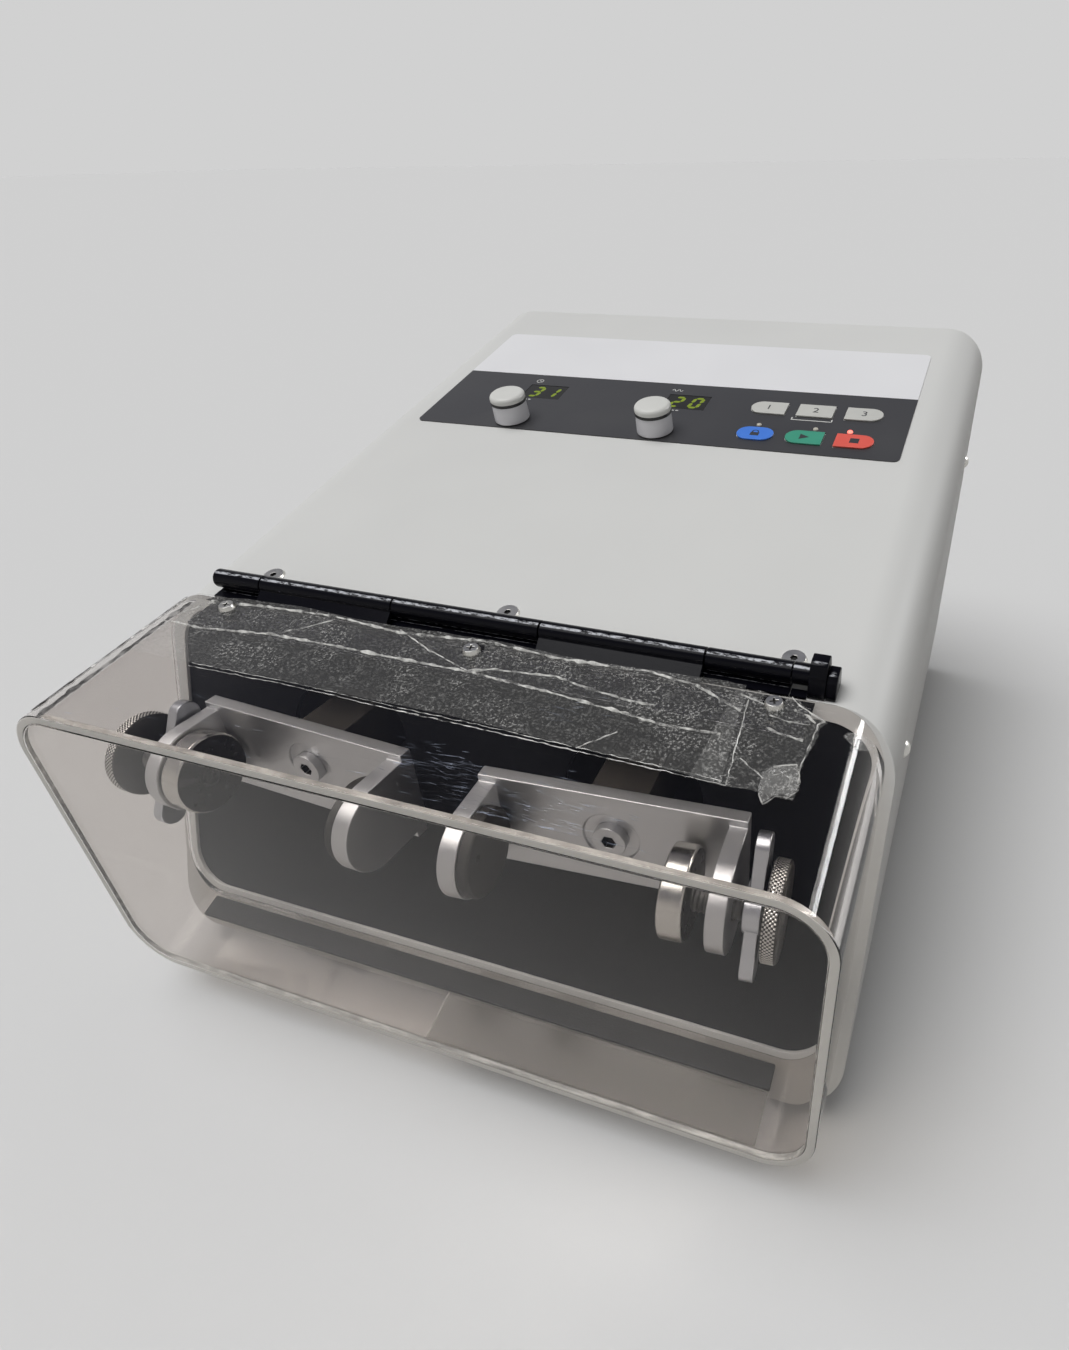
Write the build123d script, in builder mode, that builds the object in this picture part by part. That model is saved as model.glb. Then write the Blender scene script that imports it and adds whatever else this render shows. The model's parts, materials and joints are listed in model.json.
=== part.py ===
from build123d import *
import math
import os

os.makedirs("parts", exist_ok=True)

# Mixer mill: two swinging jar clamps behind a hinged clear hood.
# Frame in mm: +Z up, front is -Y, origin at the middle of the footprint on the bench.

# overall size
width = 371.0
depth = 461.0
height = 266.0

# sloped top and slanted front of the housing
top_slope = 12.0
front_slant = 19.6
hood_reach = 97.0
edge_y = -depth / 2 + hood_reach
rear_y = depth / 2
edge_z = height - (rear_y - edge_y) * math.tan(math.radians(top_slope))
top_length = (rear_y - edge_y) / math.cos(math.radians(top_slope))
foot_height = 14.0
sheet = 2.0
shell_radius = 26.0
base_radius = 22.0

# hood, a little narrower than the housing
hood_step = 4.5
hood_width = width - 2 * hood_step
hood_wall = 4.0
hood_radius = 24.0
hood_gap = 1.2
front_plate_thick = 5.0

# hinge, in the plane of the sloped top
hinge_v = 8.3
hinge_n = 6.4
barrel_radius = 4.6
pin_radius = 2.0
running = 0.05

# clamps and rocker drive, spread as far as the hood's walls let the knobs swing
knob_reach = 91.35
knob_clearance = 13.65
pivot_x = hood_width / 2 - hood_wall - knob_clearance - knob_reach
pivot_y = edge_y + 36.0
swing_z = edge_z - 56.0
rest_swing = 3.5
clamp_reach = 100.0
web_back = 74.0
web_thick = 6.5
web_height = 44.0
leg_radius = 19.0
leg_inner = -50.0
leg_outer = 50.5
inner_leg_thick = 8.0
outer_leg_thick = 7.5
jaw_radius = 18.0
jaw_thick = 10.0
spindle_radius = 5.75
knob_disc_radius = 19.0
knob_disc_thick = 6.5
crank_length = 50.0
throw = 3.5
big_end_radius = 25.8
big_end_bore = 19.8

# controls on the sloped top
label_margin = 32.0
label_width = width - 2 * label_margin
label_depth = 137.8
label_high = top_length - 45.5
label_low = label_high - label_depth
label_thick = 0.6
knob_v = label_low + 11.7
knob_radius = 11.0
key_pitch = 29.0
key_mid_x = label_width / 2 - 56.5
key_row_low = label_low + 17.2
key_row_high = label_low + 49.5
key_length = 22.0
key_width = 14.5
board_n = -10.0

slope_r = math.radians(top_slope)
slant_r = math.radians(front_slant)
tan_slant = math.tan(slant_r)

# plane of the sloped top: local y runs back and up the slope, local z is its normal
top_plane = Plane(
    origin=(0, edge_y, edge_z),
    x_dir=(1, 0, 0),
    z_dir=(0, -math.sin(slope_r), math.cos(slope_r)),
)
# plane of the slanted front: local y runs up the front, local z points forward
front_plane = Plane(
    origin=(0, edge_y, edge_z),
    x_dir=(1, 0, 0),
    z_dir=(0, -math.cos(slant_r), math.sin(slant_r)),
)


def front_y(z, behind=0.0):
    """Y of the slanted front at height z, moved back by a distance along its normal."""
    return edge_y + (z - edge_z) * tan_slant + behind / math.cos(slant_r)


def top_z(y, below=0.0):
    """Height of the sloped top at y, moved down along its normal."""
    return edge_z + (y - edge_y) * math.tan(slope_r) - below / math.cos(slope_r)


# outline of the housing seen from the side, as (y, z)
def housing_outline(inset, front_back, rear_over):
    low = foot_height + inset
    z_front = edge_z
    for step in range(8):
        z_front = top_z(front_y(z_front, front_back), inset)
    return [
        (front_y(z_front, front_back), z_front),
        (rear_y + rear_over, top_z(rear_y + rear_over, inset)),
        (rear_y + rear_over, low),
        (front_y(low, front_back), low),
    ]


# housing shell: bent sheet tube with a folded front flange
opening_width = width - 19.0
opening_low = -159.5
opening_high = -8.0
opening_radius = 20.0
hole_v = 22.3
top_screw_x = width / 2 - 49.8
side_rear_y = rear_y - 37.6
side_spots = [(edge_y + 39.7, edge_z - 43.2), (side_rear_y, top_z(side_rear_y) - 69.7)]
foot_x = width / 2 - 45.5
foot_front_y = -depth / 2 + 90.5
foot_rear_y = rear_y - 40.5
foot_spots = [(x, y) for y in (foot_front_y, foot_rear_y) for x in (-foot_x, foot_x)]
display_v = label_low + 50.0
display_spots = [(-label_width / 2 + 68.2, display_v), (14.4, display_v)]
display_width = 28.0
display_height = 18.6
knob_spots = [(-label_width / 2 + 64.0, knob_v), (7.5, knob_v)]
led_spots = [(key_mid_x + shift, label_low + 28.4) for shift in (-29.5, 4.5, 24.5)]
key_spots = [
    ("memory_key_1", key_mid_x - key_pitch, key_row_high, "left"),
    ("memory_key_2", key_mid_x, key_row_high, "none"),
    ("memory_key_3", key_mid_x + key_pitch, key_row_high, "right"),
    ("lock_key", key_mid_x - key_pitch, key_row_low, "both"),
    ("start_key", key_mid_x, key_row_low, "left"),
    ("stop_key", key_mid_x + key_pitch, key_row_low, "right"),
]
standoff_x = label_width / 2 - 13.5
standoff_spots = [(x, v) for v in (label_low + 7.2, label_high - 8.6) for x in (-standoff_x, standoff_x)]

with BuildPart() as housing_core:
    with BuildSketch(Plane.YZ):
        with BuildLine():
            Polyline(*housing_outline(0, 0, 0), close=True)
        make_face()
    extrude(amount=width / 2, both=True)
    side_edges = housing_core.edges().filter_by(
        lambda e: abs(abs(e.center().X) - width / 2) < 0.01 and e.length > 300
    )
    fillet(side_edges.sort_by(Axis.Z)[-2:], shell_radius)
    low_edges = housing_core.edges().filter_by(
        lambda e: abs(abs(e.center().X) - width / 2) < 0.01
        and abs(e.center().Z - foot_height) < 0.01
        and e.length > 300
    )
    fillet(low_edges, base_radius)

with BuildPart() as housing_hollow:
    with BuildSketch(Plane.YZ):
        with BuildLine():
            Polyline(*housing_outline(sheet, sheet, 20), close=True)
        make_face()
    extrude(amount=width / 2 - sheet, both=True)
    hollow_edges = housing_hollow.edges().filter_by(
        lambda e: abs(abs(e.center().X) - width / 2 + sheet) < 0.01 and e.length > 300
    )
    fillet(hollow_edges.sort_by(Axis.Z)[-2:], shell_radius - sheet)
    hollow_low = housing_hollow.edges().filter_by(
        lambda e: abs(abs(e.center().X) - width / 2 + sheet) < 0.01
        and abs(e.center().Z - foot_height - sheet) < 0.01
        and e.length > 300
    )
    fillet(hollow_low, base_radius - sheet)

with BuildPart() as housing_shell:
    add(housing_core.part)
    add(housing_hollow.part, mode=Mode.SUBTRACT)
    with BuildSketch(front_plane.offset(5)):
        with Locations((0, (opening_low + opening_high) / 2)):
            RectangleRounded(opening_width, opening_high - opening_low, opening_radius)
    extrude(amount=-12, mode=Mode.SUBTRACT)
    with BuildSketch(top_plane.offset(3)):
        with Locations((-top_screw_x, hole_v), (0, hole_v), (top_screw_x, hole_v)):
            Circle(2.2)
        with Locations(*knob_spots):
            Circle(4.2)
        with Locations(*display_spots):
            Rectangle(display_width + 1.6, display_height + 1.6)
        with Locations(*led_spots):
            Circle(1.8)
        with Locations(*[(k[1], k[2]) for k in key_spots]):
            Circle(3.0)
    extrude(amount=-8, mode=Mode.SUBTRACT)
    with BuildSketch(Plane.XY.offset(foot_height - 1)):
        with Locations(*foot_spots):
            Circle(3.3)
    extrude(amount=5, mode=Mode.SUBTRACT)
    for side in (-1, 1):
        with BuildSketch(Plane.YZ.offset(side * (width / 2 - 6))):
            with Locations(*side_spots):
                Circle(2.2)
        extrude(amount=side * 10, mode=Mode.SUBTRACT)
housing_shell.part.label = "housing_shell"
export_step(housing_shell.part, "parts/housing_shell.step")

# chassis plate on the floor of the shell
chassis_thick = 3.0
chassis_z = foot_height + sheet
chassis_front_y = front_y(chassis_z) + 19.0
chassis_rear_y = rear_y - 10.5
with BuildPart() as chassis_plate:
    with BuildSketch(Plane.XY.offset(chassis_z)):
        with Locations((0, (chassis_front_y + chassis_rear_y) / 2)):
            Rectangle(width - 55, chassis_rear_y - chassis_front_y)
        with Locations(*foot_spots):
            Circle(3.3, mode=Mode.SUBTRACT)
    extrude(amount=chassis_thick)
chassis_plate.part.label = "chassis_plate"
export_step(chassis_plate.part, "parts/chassis_plate.step")

# black front panel behind the flange, with an oval opening for each rocker arm
panel_thick = 3.0
panel_low = opening_low - 4.5
panel_high = opening_high + 4.0
arm_opening = [(-pivot_x - 3.5, -57.5), (pivot_x + 3.5, -57.5)]
with BuildPart() as front_panel:
    with BuildSketch(front_plane.offset(-sheet)):
        with Locations((0, (panel_low + panel_high) / 2)):
            RectangleRounded(width - 9, panel_high - panel_low, shell_radius)
        with Locations(*arm_opening):
            SlotOverall(66, 46, mode=Mode.SUBTRACT)
    extrude(amount=-panel_thick)
front_panel.part.label = "front_panel"
export_step(front_panel.part, "parts/front_panel.step")

# rear panel inside the shell, with vents, inlet and switch cutouts
rear_panel_y = rear_y - 6.0
rear_thick = 2.0
inlet_x = width / 2 - 65.5
inlet_z = 56.0
switch_x = inlet_x - 54.0
vent_x = 115.5 - width / 2
with BuildPart() as rear_panel:
    add(housing_hollow.part)
    with Locations((0, rear_panel_y - rear_thick / 2, 150)):
        Box(400, rear_thick, 400, mode=Mode.INTERSECT)
    with BuildSketch(Plane.XZ.offset(-rear_panel_y - 1)):
        with Locations((inlet_x, inlet_z)):
            Rectangle(47.4, 27.4)
        with Locations((switch_x, inlet_z)):
            Rectangle(22, 30)
        with Locations((vent_x, 120)):
            with GridLocations(12, 0, 11, 1):
                SlotOverall(70, 5, rotation=90)
    extrude(amount=6, mode=Mode.SUBTRACT)
rear_panel.part.label = "rear_panel"
export_step(rear_panel.part, "parts/rear_panel.step")

# rubber feet, each with a stud through the floor
with BuildPart() as feet:
    with BuildSketch(Plane.XY):
        with Locations(*foot_spots):
            Circle(13)
    extrude(amount=foot_height, taper=6)
    with BuildSketch(Plane.XY.offset(foot_height)):
        with Locations(*foot_spots):
            Circle(3.2)
    extrude(amount=8)
feet.part.label = "feet"
export_step(feet.part, "parts/feet.step")

# stiffener under the front edge of the top, tapped for the top screws
with BuildPart() as stiffener_bar:
    with BuildSketch(top_plane.offset(-sheet)):
        with Locations((0, hole_v)):
            Rectangle(2 * top_screw_x + 28.6, 16)
        with Locations((-top_screw_x, hole_v), (0, hole_v), (top_screw_x, hole_v)):
            Circle(2.0, mode=Mode.SUBTRACT)
    extrude(amount=-5)
stiffener_bar.part.label = "stiffener_bar"
export_step(stiffener_bar.part, "parts/stiffener_bar.step")

# three countersunk screws with cup washers on the top
with BuildPart() as top_screws:
    with BuildSketch(top_plane):
        with Locations((-top_screw_x, hole_v), (0, hole_v), (top_screw_x, hole_v)):
            Circle(5.6)
    extrude(amount=1.3, taper=25)
    with BuildSketch(top_plane.offset(1.3)):
        with Locations((-top_screw_x, hole_v), (0, hole_v), (top_screw_x, hole_v)):
            RegularPolygon(1.7, 6)
    extrude(amount=-1.6, mode=Mode.SUBTRACT)
    with BuildSketch(top_plane.offset(-0.3)):
        with Locations((-top_screw_x, hole_v), (0, hole_v), (top_screw_x, hole_v)):
            Circle(1.95)
    extrude(amount=-8)
    with BuildSketch(top_plane):
        with Locations((-top_screw_x, hole_v), (0, hole_v), (top_screw_x, hole_v)):
            Circle(2.15)
    extrude(amount=-1.5)
top_screws.part.label = "top_screws"
export_step(top_screws.part, "parts/top_screws.step")

# dome screws in the sides
with BuildPart() as side_screws:
    for side in (-1, 1):
        for spot in side_spots:
            with BuildSketch(Plane.XZ.offset(-spot[0])):
                with BuildLine():
                    Line((side * (width / 2 - 8), spot[1]), (side * (width / 2 + 2.4), spot[1]))
                    ThreePointArc(
                        (side * (width / 2 + 2.4), spot[1]),
                        (side * (width / 2 + 1.7), spot[1] + 2.7),
                        (side * width / 2, spot[1] + 4.2),
                    )
                    Line((side * width / 2, spot[1] + 4.2), (side * width / 2, spot[1] + 2.0))
                    Line((side * width / 2, spot[1] + 2.0), (side * (width / 2 - 8), spot[1] + 2.0))
                    Line((side * (width / 2 - 8), spot[1] + 2.0), (side * (width / 2 - 8), spot[1]))
                make_face()
            revolve(axis=Axis((0, spot[0], spot[1]), (1, 0, 0)))
            with BuildSketch(Plane.YZ.offset(side * (width / 2 + 2.6))):
                with Locations(spot):
                    RegularPolygon(1.5, 6)
            extrude(amount=-side * 1.6, mode=Mode.SUBTRACT)
side_screws.part.label = "side_screws"
export_step(side_screws.part, "parts/side_screws.step")

# hinge: knuckles split at even pitch, body leaf on the top, hood leaf under the hood strip
hinge_left_x = 26.0 - hood_width / 2
hinge_right_x = hood_width / 2 - 42.0
knuckle_pitch = (hood_width - 57.2) / 4
knuckle_first = hinge_left_x + 28.8
knuckle_cuts = [
    hinge_left_x,
    knuckle_first,
    knuckle_first + knuckle_pitch,
    knuckle_first + 2 * knuckle_pitch,
    knuckle_first + 3 * knuckle_pitch,
    hinge_right_x,
]
knuckle_gap = 0.6
hinge_axis_y = edge_y + hinge_v * math.cos(slope_r) - hinge_n * math.sin(slope_r)
hinge_axis_z = edge_z + hinge_v * math.sin(slope_r) + hinge_n * math.cos(slope_r)

# hood outline seen from the side, as (y, z)
hood_front_y = -depth / 2
hood_top_front = edge_z - 9.2
hood_low_front = edge_z - 167.9
hood_top_rear = edge_z + 3.4
hood_low_rear = edge_z - 156.0
hood_gap_y = hood_gap / math.cos(slant_r)
strip_back = 3.9
hood_rear_y = front_y(hood_top_rear, 0) - hood_gap_y - strip_back
strip_angle = math.degrees(math.atan2(hood_top_rear - hood_top_front, hood_rear_y - hood_front_y))
strip_plane = Plane(
    origin=(0, hood_rear_y, hood_top_rear),
    x_dir=(1, 0, 0),
    z_dir=(0, -math.sin(math.radians(strip_angle)), math.cos(math.radians(strip_angle))),
)

with BuildPart() as hinge_leaf_body:
    for index in (0, 2, 4):
        start = knuckle_cuts[index] + knuckle_gap / 2
        stop = knuckle_cuts[index + 1] - knuckle_gap / 2
        with BuildSketch(Plane.YZ.offset(start)):
            with Locations((hinge_axis_y, hinge_axis_z)):
                Circle(barrel_radius)
        extrude(amount=stop - start)
        with BuildSketch(top_plane):
            with Locations(((start + stop) / 2, hinge_v + 1.6)):
                Rectangle(stop - start, 6.4)
        extrude(amount=3.4)
    with BuildSketch(top_plane):
        with Locations(((knuckle_cuts[0] + knuckle_cuts[5]) / 2, hinge_v + 0.4)):
            Rectangle(knuckle_cuts[5] - knuckle_cuts[0] - knuckle_gap, 9.0)
    extrude(amount=1.4)
    with BuildSketch(Plane.YZ.offset(-200)):
        with Locations((hinge_axis_y, hinge_axis_z)):
            Circle(pin_radius + running)
    extrude(amount=400, mode=Mode.SUBTRACT)
hinge_leaf_body.part.label = "hinge_leaf_body"
export_step(hinge_leaf_body.part, "parts/hinge_leaf_body.step")

leaf_deep = 20.0
leaf_thick = 1.6
hood_screw_x = hood_width / 2 - 45.5
hood_screw_v = -6.5
with BuildPart() as hinge_leaf_hood:
    for index in (1, 3):
        start = knuckle_cuts[index] + knuckle_gap / 2
        stop = knuckle_cuts[index + 1] - knuckle_gap / 2
        with BuildSketch(Plane.YZ.offset(start)):
            with Locations((hinge_axis_y, hinge_axis_z)):
                Circle(barrel_radius)
            with BuildLine():
                Polyline(
                    (edge_y - 1.7, edge_z - 2.7),
                    (edge_y - 1.5, edge_z + 0.9),
                    (edge_y + 3.4, edge_z + 4.9),
                    (edge_y + 2.4, edge_z + 7.4),
                    (edge_y - 3.4, edge_z + 2.0),
                    (edge_y - 3.4, edge_z - 1.1),
                    (edge_y - 5.0, edge_z - 1.4),
                    (edge_y - 5.0, edge_z - 2.9),
                    close=True,
                )
            make_face()
        extrude(amount=stop - start)
    with BuildSketch(strip_plane.offset(-hood_wall)):
        with Locations((0, 0.9 - leaf_deep / 2)):
            Rectangle(2 * hood_screw_x + 29, leaf_deep)
        with Locations((-hood_screw_x, hood_screw_v), (0, hood_screw_v), (hood_screw_x, hood_screw_v)):
            Circle(2.0, mode=Mode.SUBTRACT)
    extrude(amount=-leaf_thick)
    with BuildSketch(Plane.YZ.offset(-200)):
        with Locations((hinge_axis_y, hinge_axis_z)):
            Circle(pin_radius + running)
    extrude(amount=400, mode=Mode.SUBTRACT)
hinge_leaf_hood.part.label = "hinge_leaf_hood"
export_step(hinge_leaf_hood.part, "parts/hinge_leaf_hood.step")

# hinge pin with a stop collar and end disc at its right end
with BuildPart() as hinge_pin:
    with BuildSketch(Plane.YZ.offset(knuckle_cuts[0] - 1)):
        with Locations((hinge_axis_y, hinge_axis_z)):
            Circle(pin_radius)
    extrude(amount=hinge_right_x - hinge_left_x + 15)
    with BuildSketch(Plane.YZ.offset(hinge_right_x + 0.4)):
        with Locations((hinge_axis_y, hinge_axis_z)):
            Circle(6.2)
    extrude(amount=7)
    with BuildSketch(Plane.YZ.offset(hinge_right_x + 7.4)):
        with Locations((hinge_axis_y, hinge_axis_z)):
            Circle(4.2)
    extrude(amount=7)
hinge_pin.part.label = "hinge_pin"
export_step(hinge_pin.part, "parts/hinge_pin.step")

# clear hood: bent wrap, then the front plate cemented inside it
hood_points = [
    (hood_front_y, hood_top_front),
    (hood_rear_y, hood_top_rear),
    (front_y(hood_low_rear, 0) - hood_gap_y, hood_low_rear),
    (hood_front_y, hood_low_front),
]
rise = (hood_top_rear - hood_top_front) / (hood_points[1][0] - hood_front_y)
fall = (hood_low_rear - hood_low_front) / (hood_points[2][0] - hood_front_y)
drop_top = hood_wall * math.sqrt(1 + rise * rise)
lift_low = hood_wall * math.sqrt(1 + fall * fall)
over = 20.0
inner_points = [
    (hood_front_y - over, hood_top_front - drop_top - rise * over),
    (hood_points[1][0] + over, hood_top_rear - drop_top + rise * over),
    (hood_points[2][0] + over, hood_low_rear + lift_low + fall * over),
    (hood_front_y - over, hood_low_front + lift_low - fall * over),
]
with BuildPart() as hood_inner:
    with BuildSketch(Plane.YZ):
        with BuildLine():
            Polyline(*inner_points, close=True)
        make_face()
    extrude(amount=hood_width / 2 - hood_wall, both=True)
    inner_side = hood_inner.edges().filter_by(
        lambda e: abs(abs(e.center().X) - hood_width / 2 + hood_wall) < 0.01
        and abs(e.tangent_at(0.5).Y) > 0.8
    )
    fillet(inner_side, hood_radius - hood_wall)

with BuildPart() as hood_tube:
    with BuildSketch(Plane.YZ):
        with BuildLine():
            Polyline(*hood_points, close=True)
        make_face()
    extrude(amount=hood_width / 2, both=True)
    outer_side = hood_tube.edges().filter_by(
        lambda e: abs(abs(e.center().X) - hood_width / 2) < 0.01
        and abs(e.tangent_at(0.5).Y) > 0.8
    )
    fillet(outer_side, hood_radius)
    add(hood_inner.part, mode=Mode.SUBTRACT)
    with BuildSketch(strip_plane.offset(2)):
        with Locations((-hood_screw_x, hood_screw_v), (0, hood_screw_v), (hood_screw_x, hood_screw_v)):
            Circle(2.2)
    extrude(amount=-10, mode=Mode.SUBTRACT)
hood_tube.part.label = "hood_tube"
export_step(hood_tube.part, "parts/hood_tube.step")

with BuildPart() as hood_front_plate:
    add(hood_inner.part)
    with Locations((0, hood_front_y + front_plate_thick / 2, 100)):
        Box(400, front_plate_thick, 300, mode=Mode.INTERSECT)
hood_front_plate.part.label = "hood_front_plate"
export_step(hood_front_plate.part, "parts/hood_front_plate.step")

# pan head screws from the hood strip into the hinge leaf
with BuildPart() as hood_screws:
    with BuildSketch(strip_plane):
        with Locations((-hood_screw_x, hood_screw_v), (0, hood_screw_v), (hood_screw_x, hood_screw_v)):
            Circle(4.2)
    extrude(amount=2.2, taper=22)
    with BuildSketch(strip_plane.offset(2.2)):
        with Locations((-hood_screw_x, hood_screw_v), (0, hood_screw_v), (hood_screw_x, hood_screw_v)):
            Rectangle(3.6, 0.8, rotation=20)
            Rectangle(0.8, 3.6, rotation=20)
    extrude(amount=-1.1, mode=Mode.SUBTRACT)
    with BuildSketch(strip_plane):
        with Locations((-hood_screw_x, hood_screw_v), (0, hood_screw_v), (hood_screw_x, hood_screw_v)):
            Circle(1.95)
    extrude(amount=-7)
hood_screws.part.label = "hood_screws"
export_step(hood_screws.part, "parts/hood_screws.step")

# foam strip on the hood floor along the panel
floor_angle = math.atan2(hood_low_rear - hood_low_front, hood_points[2][0] - hood_front_y)
floor_plane = Plane(
    origin=(0, hood_points[2][0], hood_low_rear + lift_low),
    x_dir=(1, 0, 0),
    z_dir=(0, -math.sin(floor_angle), math.cos(floor_angle)),
)
with BuildPart() as floor_strip:
    with BuildSketch(floor_plane):
        with Locations((0, -8.4)):
            Rectangle(hood_width - 49, 11)
    extrude(amount=3)
floor_strip.part.label = "floor_strip"
export_step(floor_strip.part, "parts/floor_strip.step")

# rocker arms and clamps, one set per side, turned by the rest swing about each pivot
swing_r = math.radians(rest_swing)
spindle_offset = {"left": 39.5, "right": 31.5}
lever_offset = {"left": 59.0, "right": 62.5}
lever_tilt = {"left": 31.0, "right": 28.0}
rod_level = {"left": swing_z - 19, "right": swing_z + 9}
for side, tag in ((-1, "left"), (1, "right")):
    # local x points outward from the middle of the machine, local y points to the rear
    turn = side * rest_swing
    x_dir = Vector(math.cos(math.radians(turn)), math.sin(math.radians(turn)), 0)
    y_dir = Vector(-math.sin(math.radians(turn)), math.cos(math.radians(turn)), 0)
    out_dir = x_dir * side
    pivot = Vector(side * pivot_x, pivot_y, swing_z)
    flat = Plane(origin=pivot, x_dir=x_dir, z_dir=(0, 0, 1))
    axis_at = pivot - y_dir * clamp_reach
    # planes across the clamp axis: local x forward, local y up or down, local z outward
    across = Plane(origin=axis_at, x_dir=y_dir * -1, z_dir=out_dir)

    with BuildPart() as rocker_arm:
        with BuildSketch(flat.offset(-15)):
            Circle(21)
            with Locations((0, -web_back / 2)):
                Rectangle(26, web_back)
            Circle(10 + running, mode=Mode.SUBTRACT)
        extrude(amount=30)
        with BuildSketch(flat.offset(-8)):
            with Locations((0, crank_length / 2)):
                Rectangle(20, crank_length)
            with Locations((0, crank_length)):
                Circle(10)
            Circle(15, mode=Mode.SUBTRACT)
        extrude(amount=16)
        with BuildSketch(flat.offset(-20 if side < 0 else 0)):
            with Locations((0, crank_length)):
                Circle(5)
        extrude(amount=20)
        with BuildSketch(Plane(origin=pivot - y_dir * web_back, x_dir=x_dir, z_dir=y_dir)):
            Circle(4.1)
        extrude(amount=26, mode=Mode.SUBTRACT)
    rocker_arm.part.label = "rocker_arm_" + tag
    export_step(rocker_arm.part, "parts/rocker_arm_" + tag + ".step")

    with BuildPart() as clamp_yoke:
        with BuildSketch(flat.offset(-web_height / 2)):
            with Locations((0, -web_back - web_thick / 2)):
                Rectangle(leg_outer - leg_inner + inner_leg_thick + outer_leg_thick, web_thick)
        extrude(amount=web_height)
        for low, thick in ((leg_inner - inner_leg_thick, inner_leg_thick), (leg_outer, outer_leg_thick)):
            with BuildSketch(across.offset(low)):
                Circle(leg_radius)
                with Locations((-(clamp_reach - web_back) / 2, 0)):
                    Rectangle(clamp_reach - web_back, 2 * leg_radius)
            extrude(amount=thick)
        with BuildSketch(across.offset(leg_outer - 1)):
            Circle(spindle_radius + 0.07)
        extrude(amount=outer_leg_thick + 2, mode=Mode.SUBTRACT)
        front_face = pivot - y_dir * (web_back + web_thick)
        with BuildSketch(Plane(origin=front_face, x_dir=x_dir, z_dir=y_dir)):
            Circle(12.5)
        extrude(amount=1.5, mode=Mode.SUBTRACT)
        with BuildSketch(Plane(origin=front_face, x_dir=x_dir, z_dir=y_dir)):
            Circle(4.2)
        extrude(amount=web_thick + 1, mode=Mode.SUBTRACT)
    clamp_yoke.part.label = "clamp_yoke_" + tag
    export_step(clamp_yoke.part, "parts/clamp_yoke_" + tag + ".step")

    with BuildPart() as yoke_screw:
        seat = pivot - y_dir * (web_back + web_thick - 1.5)
        with BuildSketch(Plane(origin=seat, x_dir=x_dir, z_dir=y_dir * -1)):
            Circle(7.5)
        extrude(amount=4.5)
        with BuildSketch(Plane(origin=seat - y_dir * 4.5, x_dir=x_dir, z_dir=y_dir)):
            RegularPolygon(3.4, 6)
        extrude(amount=3, mode=Mode.SUBTRACT)
        with BuildSketch(Plane(origin=seat, x_dir=x_dir, z_dir=y_dir)):
            Circle(4.0)
        extrude(amount=28)
    yoke_screw.part.label = "yoke_screw_" + tag
    export_step(yoke_screw.part, "parts/yoke_screw_" + tag + ".step")

    with BuildPart() as fixed_jaw:
        with BuildSketch(across.offset(leg_inner)):
            Circle(jaw_radius)
        extrude(amount=5)
        chamfer(fixed_jaw.edges().filter_by(GeomType.CIRCLE).sort_by_distance(axis_at)[0], 0.8)
        with BuildSketch(across.offset(leg_inner + 5)):
            with Locations((8, -side * 6)):
                RegularPolygon(2.2, 6)
        extrude(amount=-2, mode=Mode.SUBTRACT)
    fixed_jaw.part.label = "fixed_jaw_" + tag
    export_step(fixed_jaw.part, "parts/fixed_jaw_" + tag + ".step")

    face_at = spindle_offset[tag]
    with BuildPart() as moving_jaw:
        with BuildSketch(across.offset(face_at)):
            Circle(jaw_radius)
        extrude(amount=jaw_thick)
        chamfer(moving_jaw.edges().filter_by(GeomType.CIRCLE), 0.8)
        with BuildSketch(across.offset(face_at + jaw_thick)):
            Circle(4.06)
        extrude(amount=-6, mode=Mode.SUBTRACT)
        with BuildSketch(across.offset(face_at)):
            Circle(5.0)
        extrude(amount=1.2, mode=Mode.SUBTRACT)
        with BuildSketch(across.offset(face_at + 1.2)):
            Circle(4.2)
        extrude(amount=-1.0)
        with BuildSketch(across.offset(face_at + 0.2)):
            RegularPolygon(2.3, 6)
        extrude(amount=1.6, mode=Mode.SUBTRACT)
    moving_jaw.part.label = "moving_jaw_" + tag
    export_step(moving_jaw.part, "parts/moving_jaw_" + tag + ".step")

    knob_face = face_at + 39.25
    with BuildPart() as spindle:
        with BuildSketch(across.offset(face_at + 4.4)):
            Circle(4.0)
        extrude(amount=jaw_thick - 4.4 + 0.4)
        with BuildSketch(across.offset(face_at + jaw_thick + 0.3)):
            Circle(spindle_radius)
        extrude(amount=knob_face - face_at - jaw_thick - 0.3)
        with BuildSketch(across.offset(knob_face)):
            Circle(4.5)
        extrude(amount=knob_disc_thick)
    spindle.part.label = "clamp_spindle_" + tag
    export_step(spindle.part, "parts/clamp_spindle_" + tag + ".step")

    with BuildPart() as spindle_knob:
        with BuildSketch(across.offset(knob_face)):
            Circle(knob_disc_radius)
            Circle(4.55, mode=Mode.SUBTRACT)
        extrude(amount=knob_disc_thick)
        chamfer(spindle_knob.edges().filter_by(GeomType.CIRCLE).filter_by(lambda e: e.radius > 10), 0.8)
    spindle_knob.part.label = "spindle_knob_" + tag
    export_step(spindle_knob.part, "parts/spindle_knob_" + tag + ".step")

    tilt = lever_tilt[tag]
    lever_start = lever_offset[tag]
    with BuildPart() as lock_lever:
        with BuildSketch(across.offset(lever_start)):
            Circle(9.5)
        extrude(amount=7)
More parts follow.
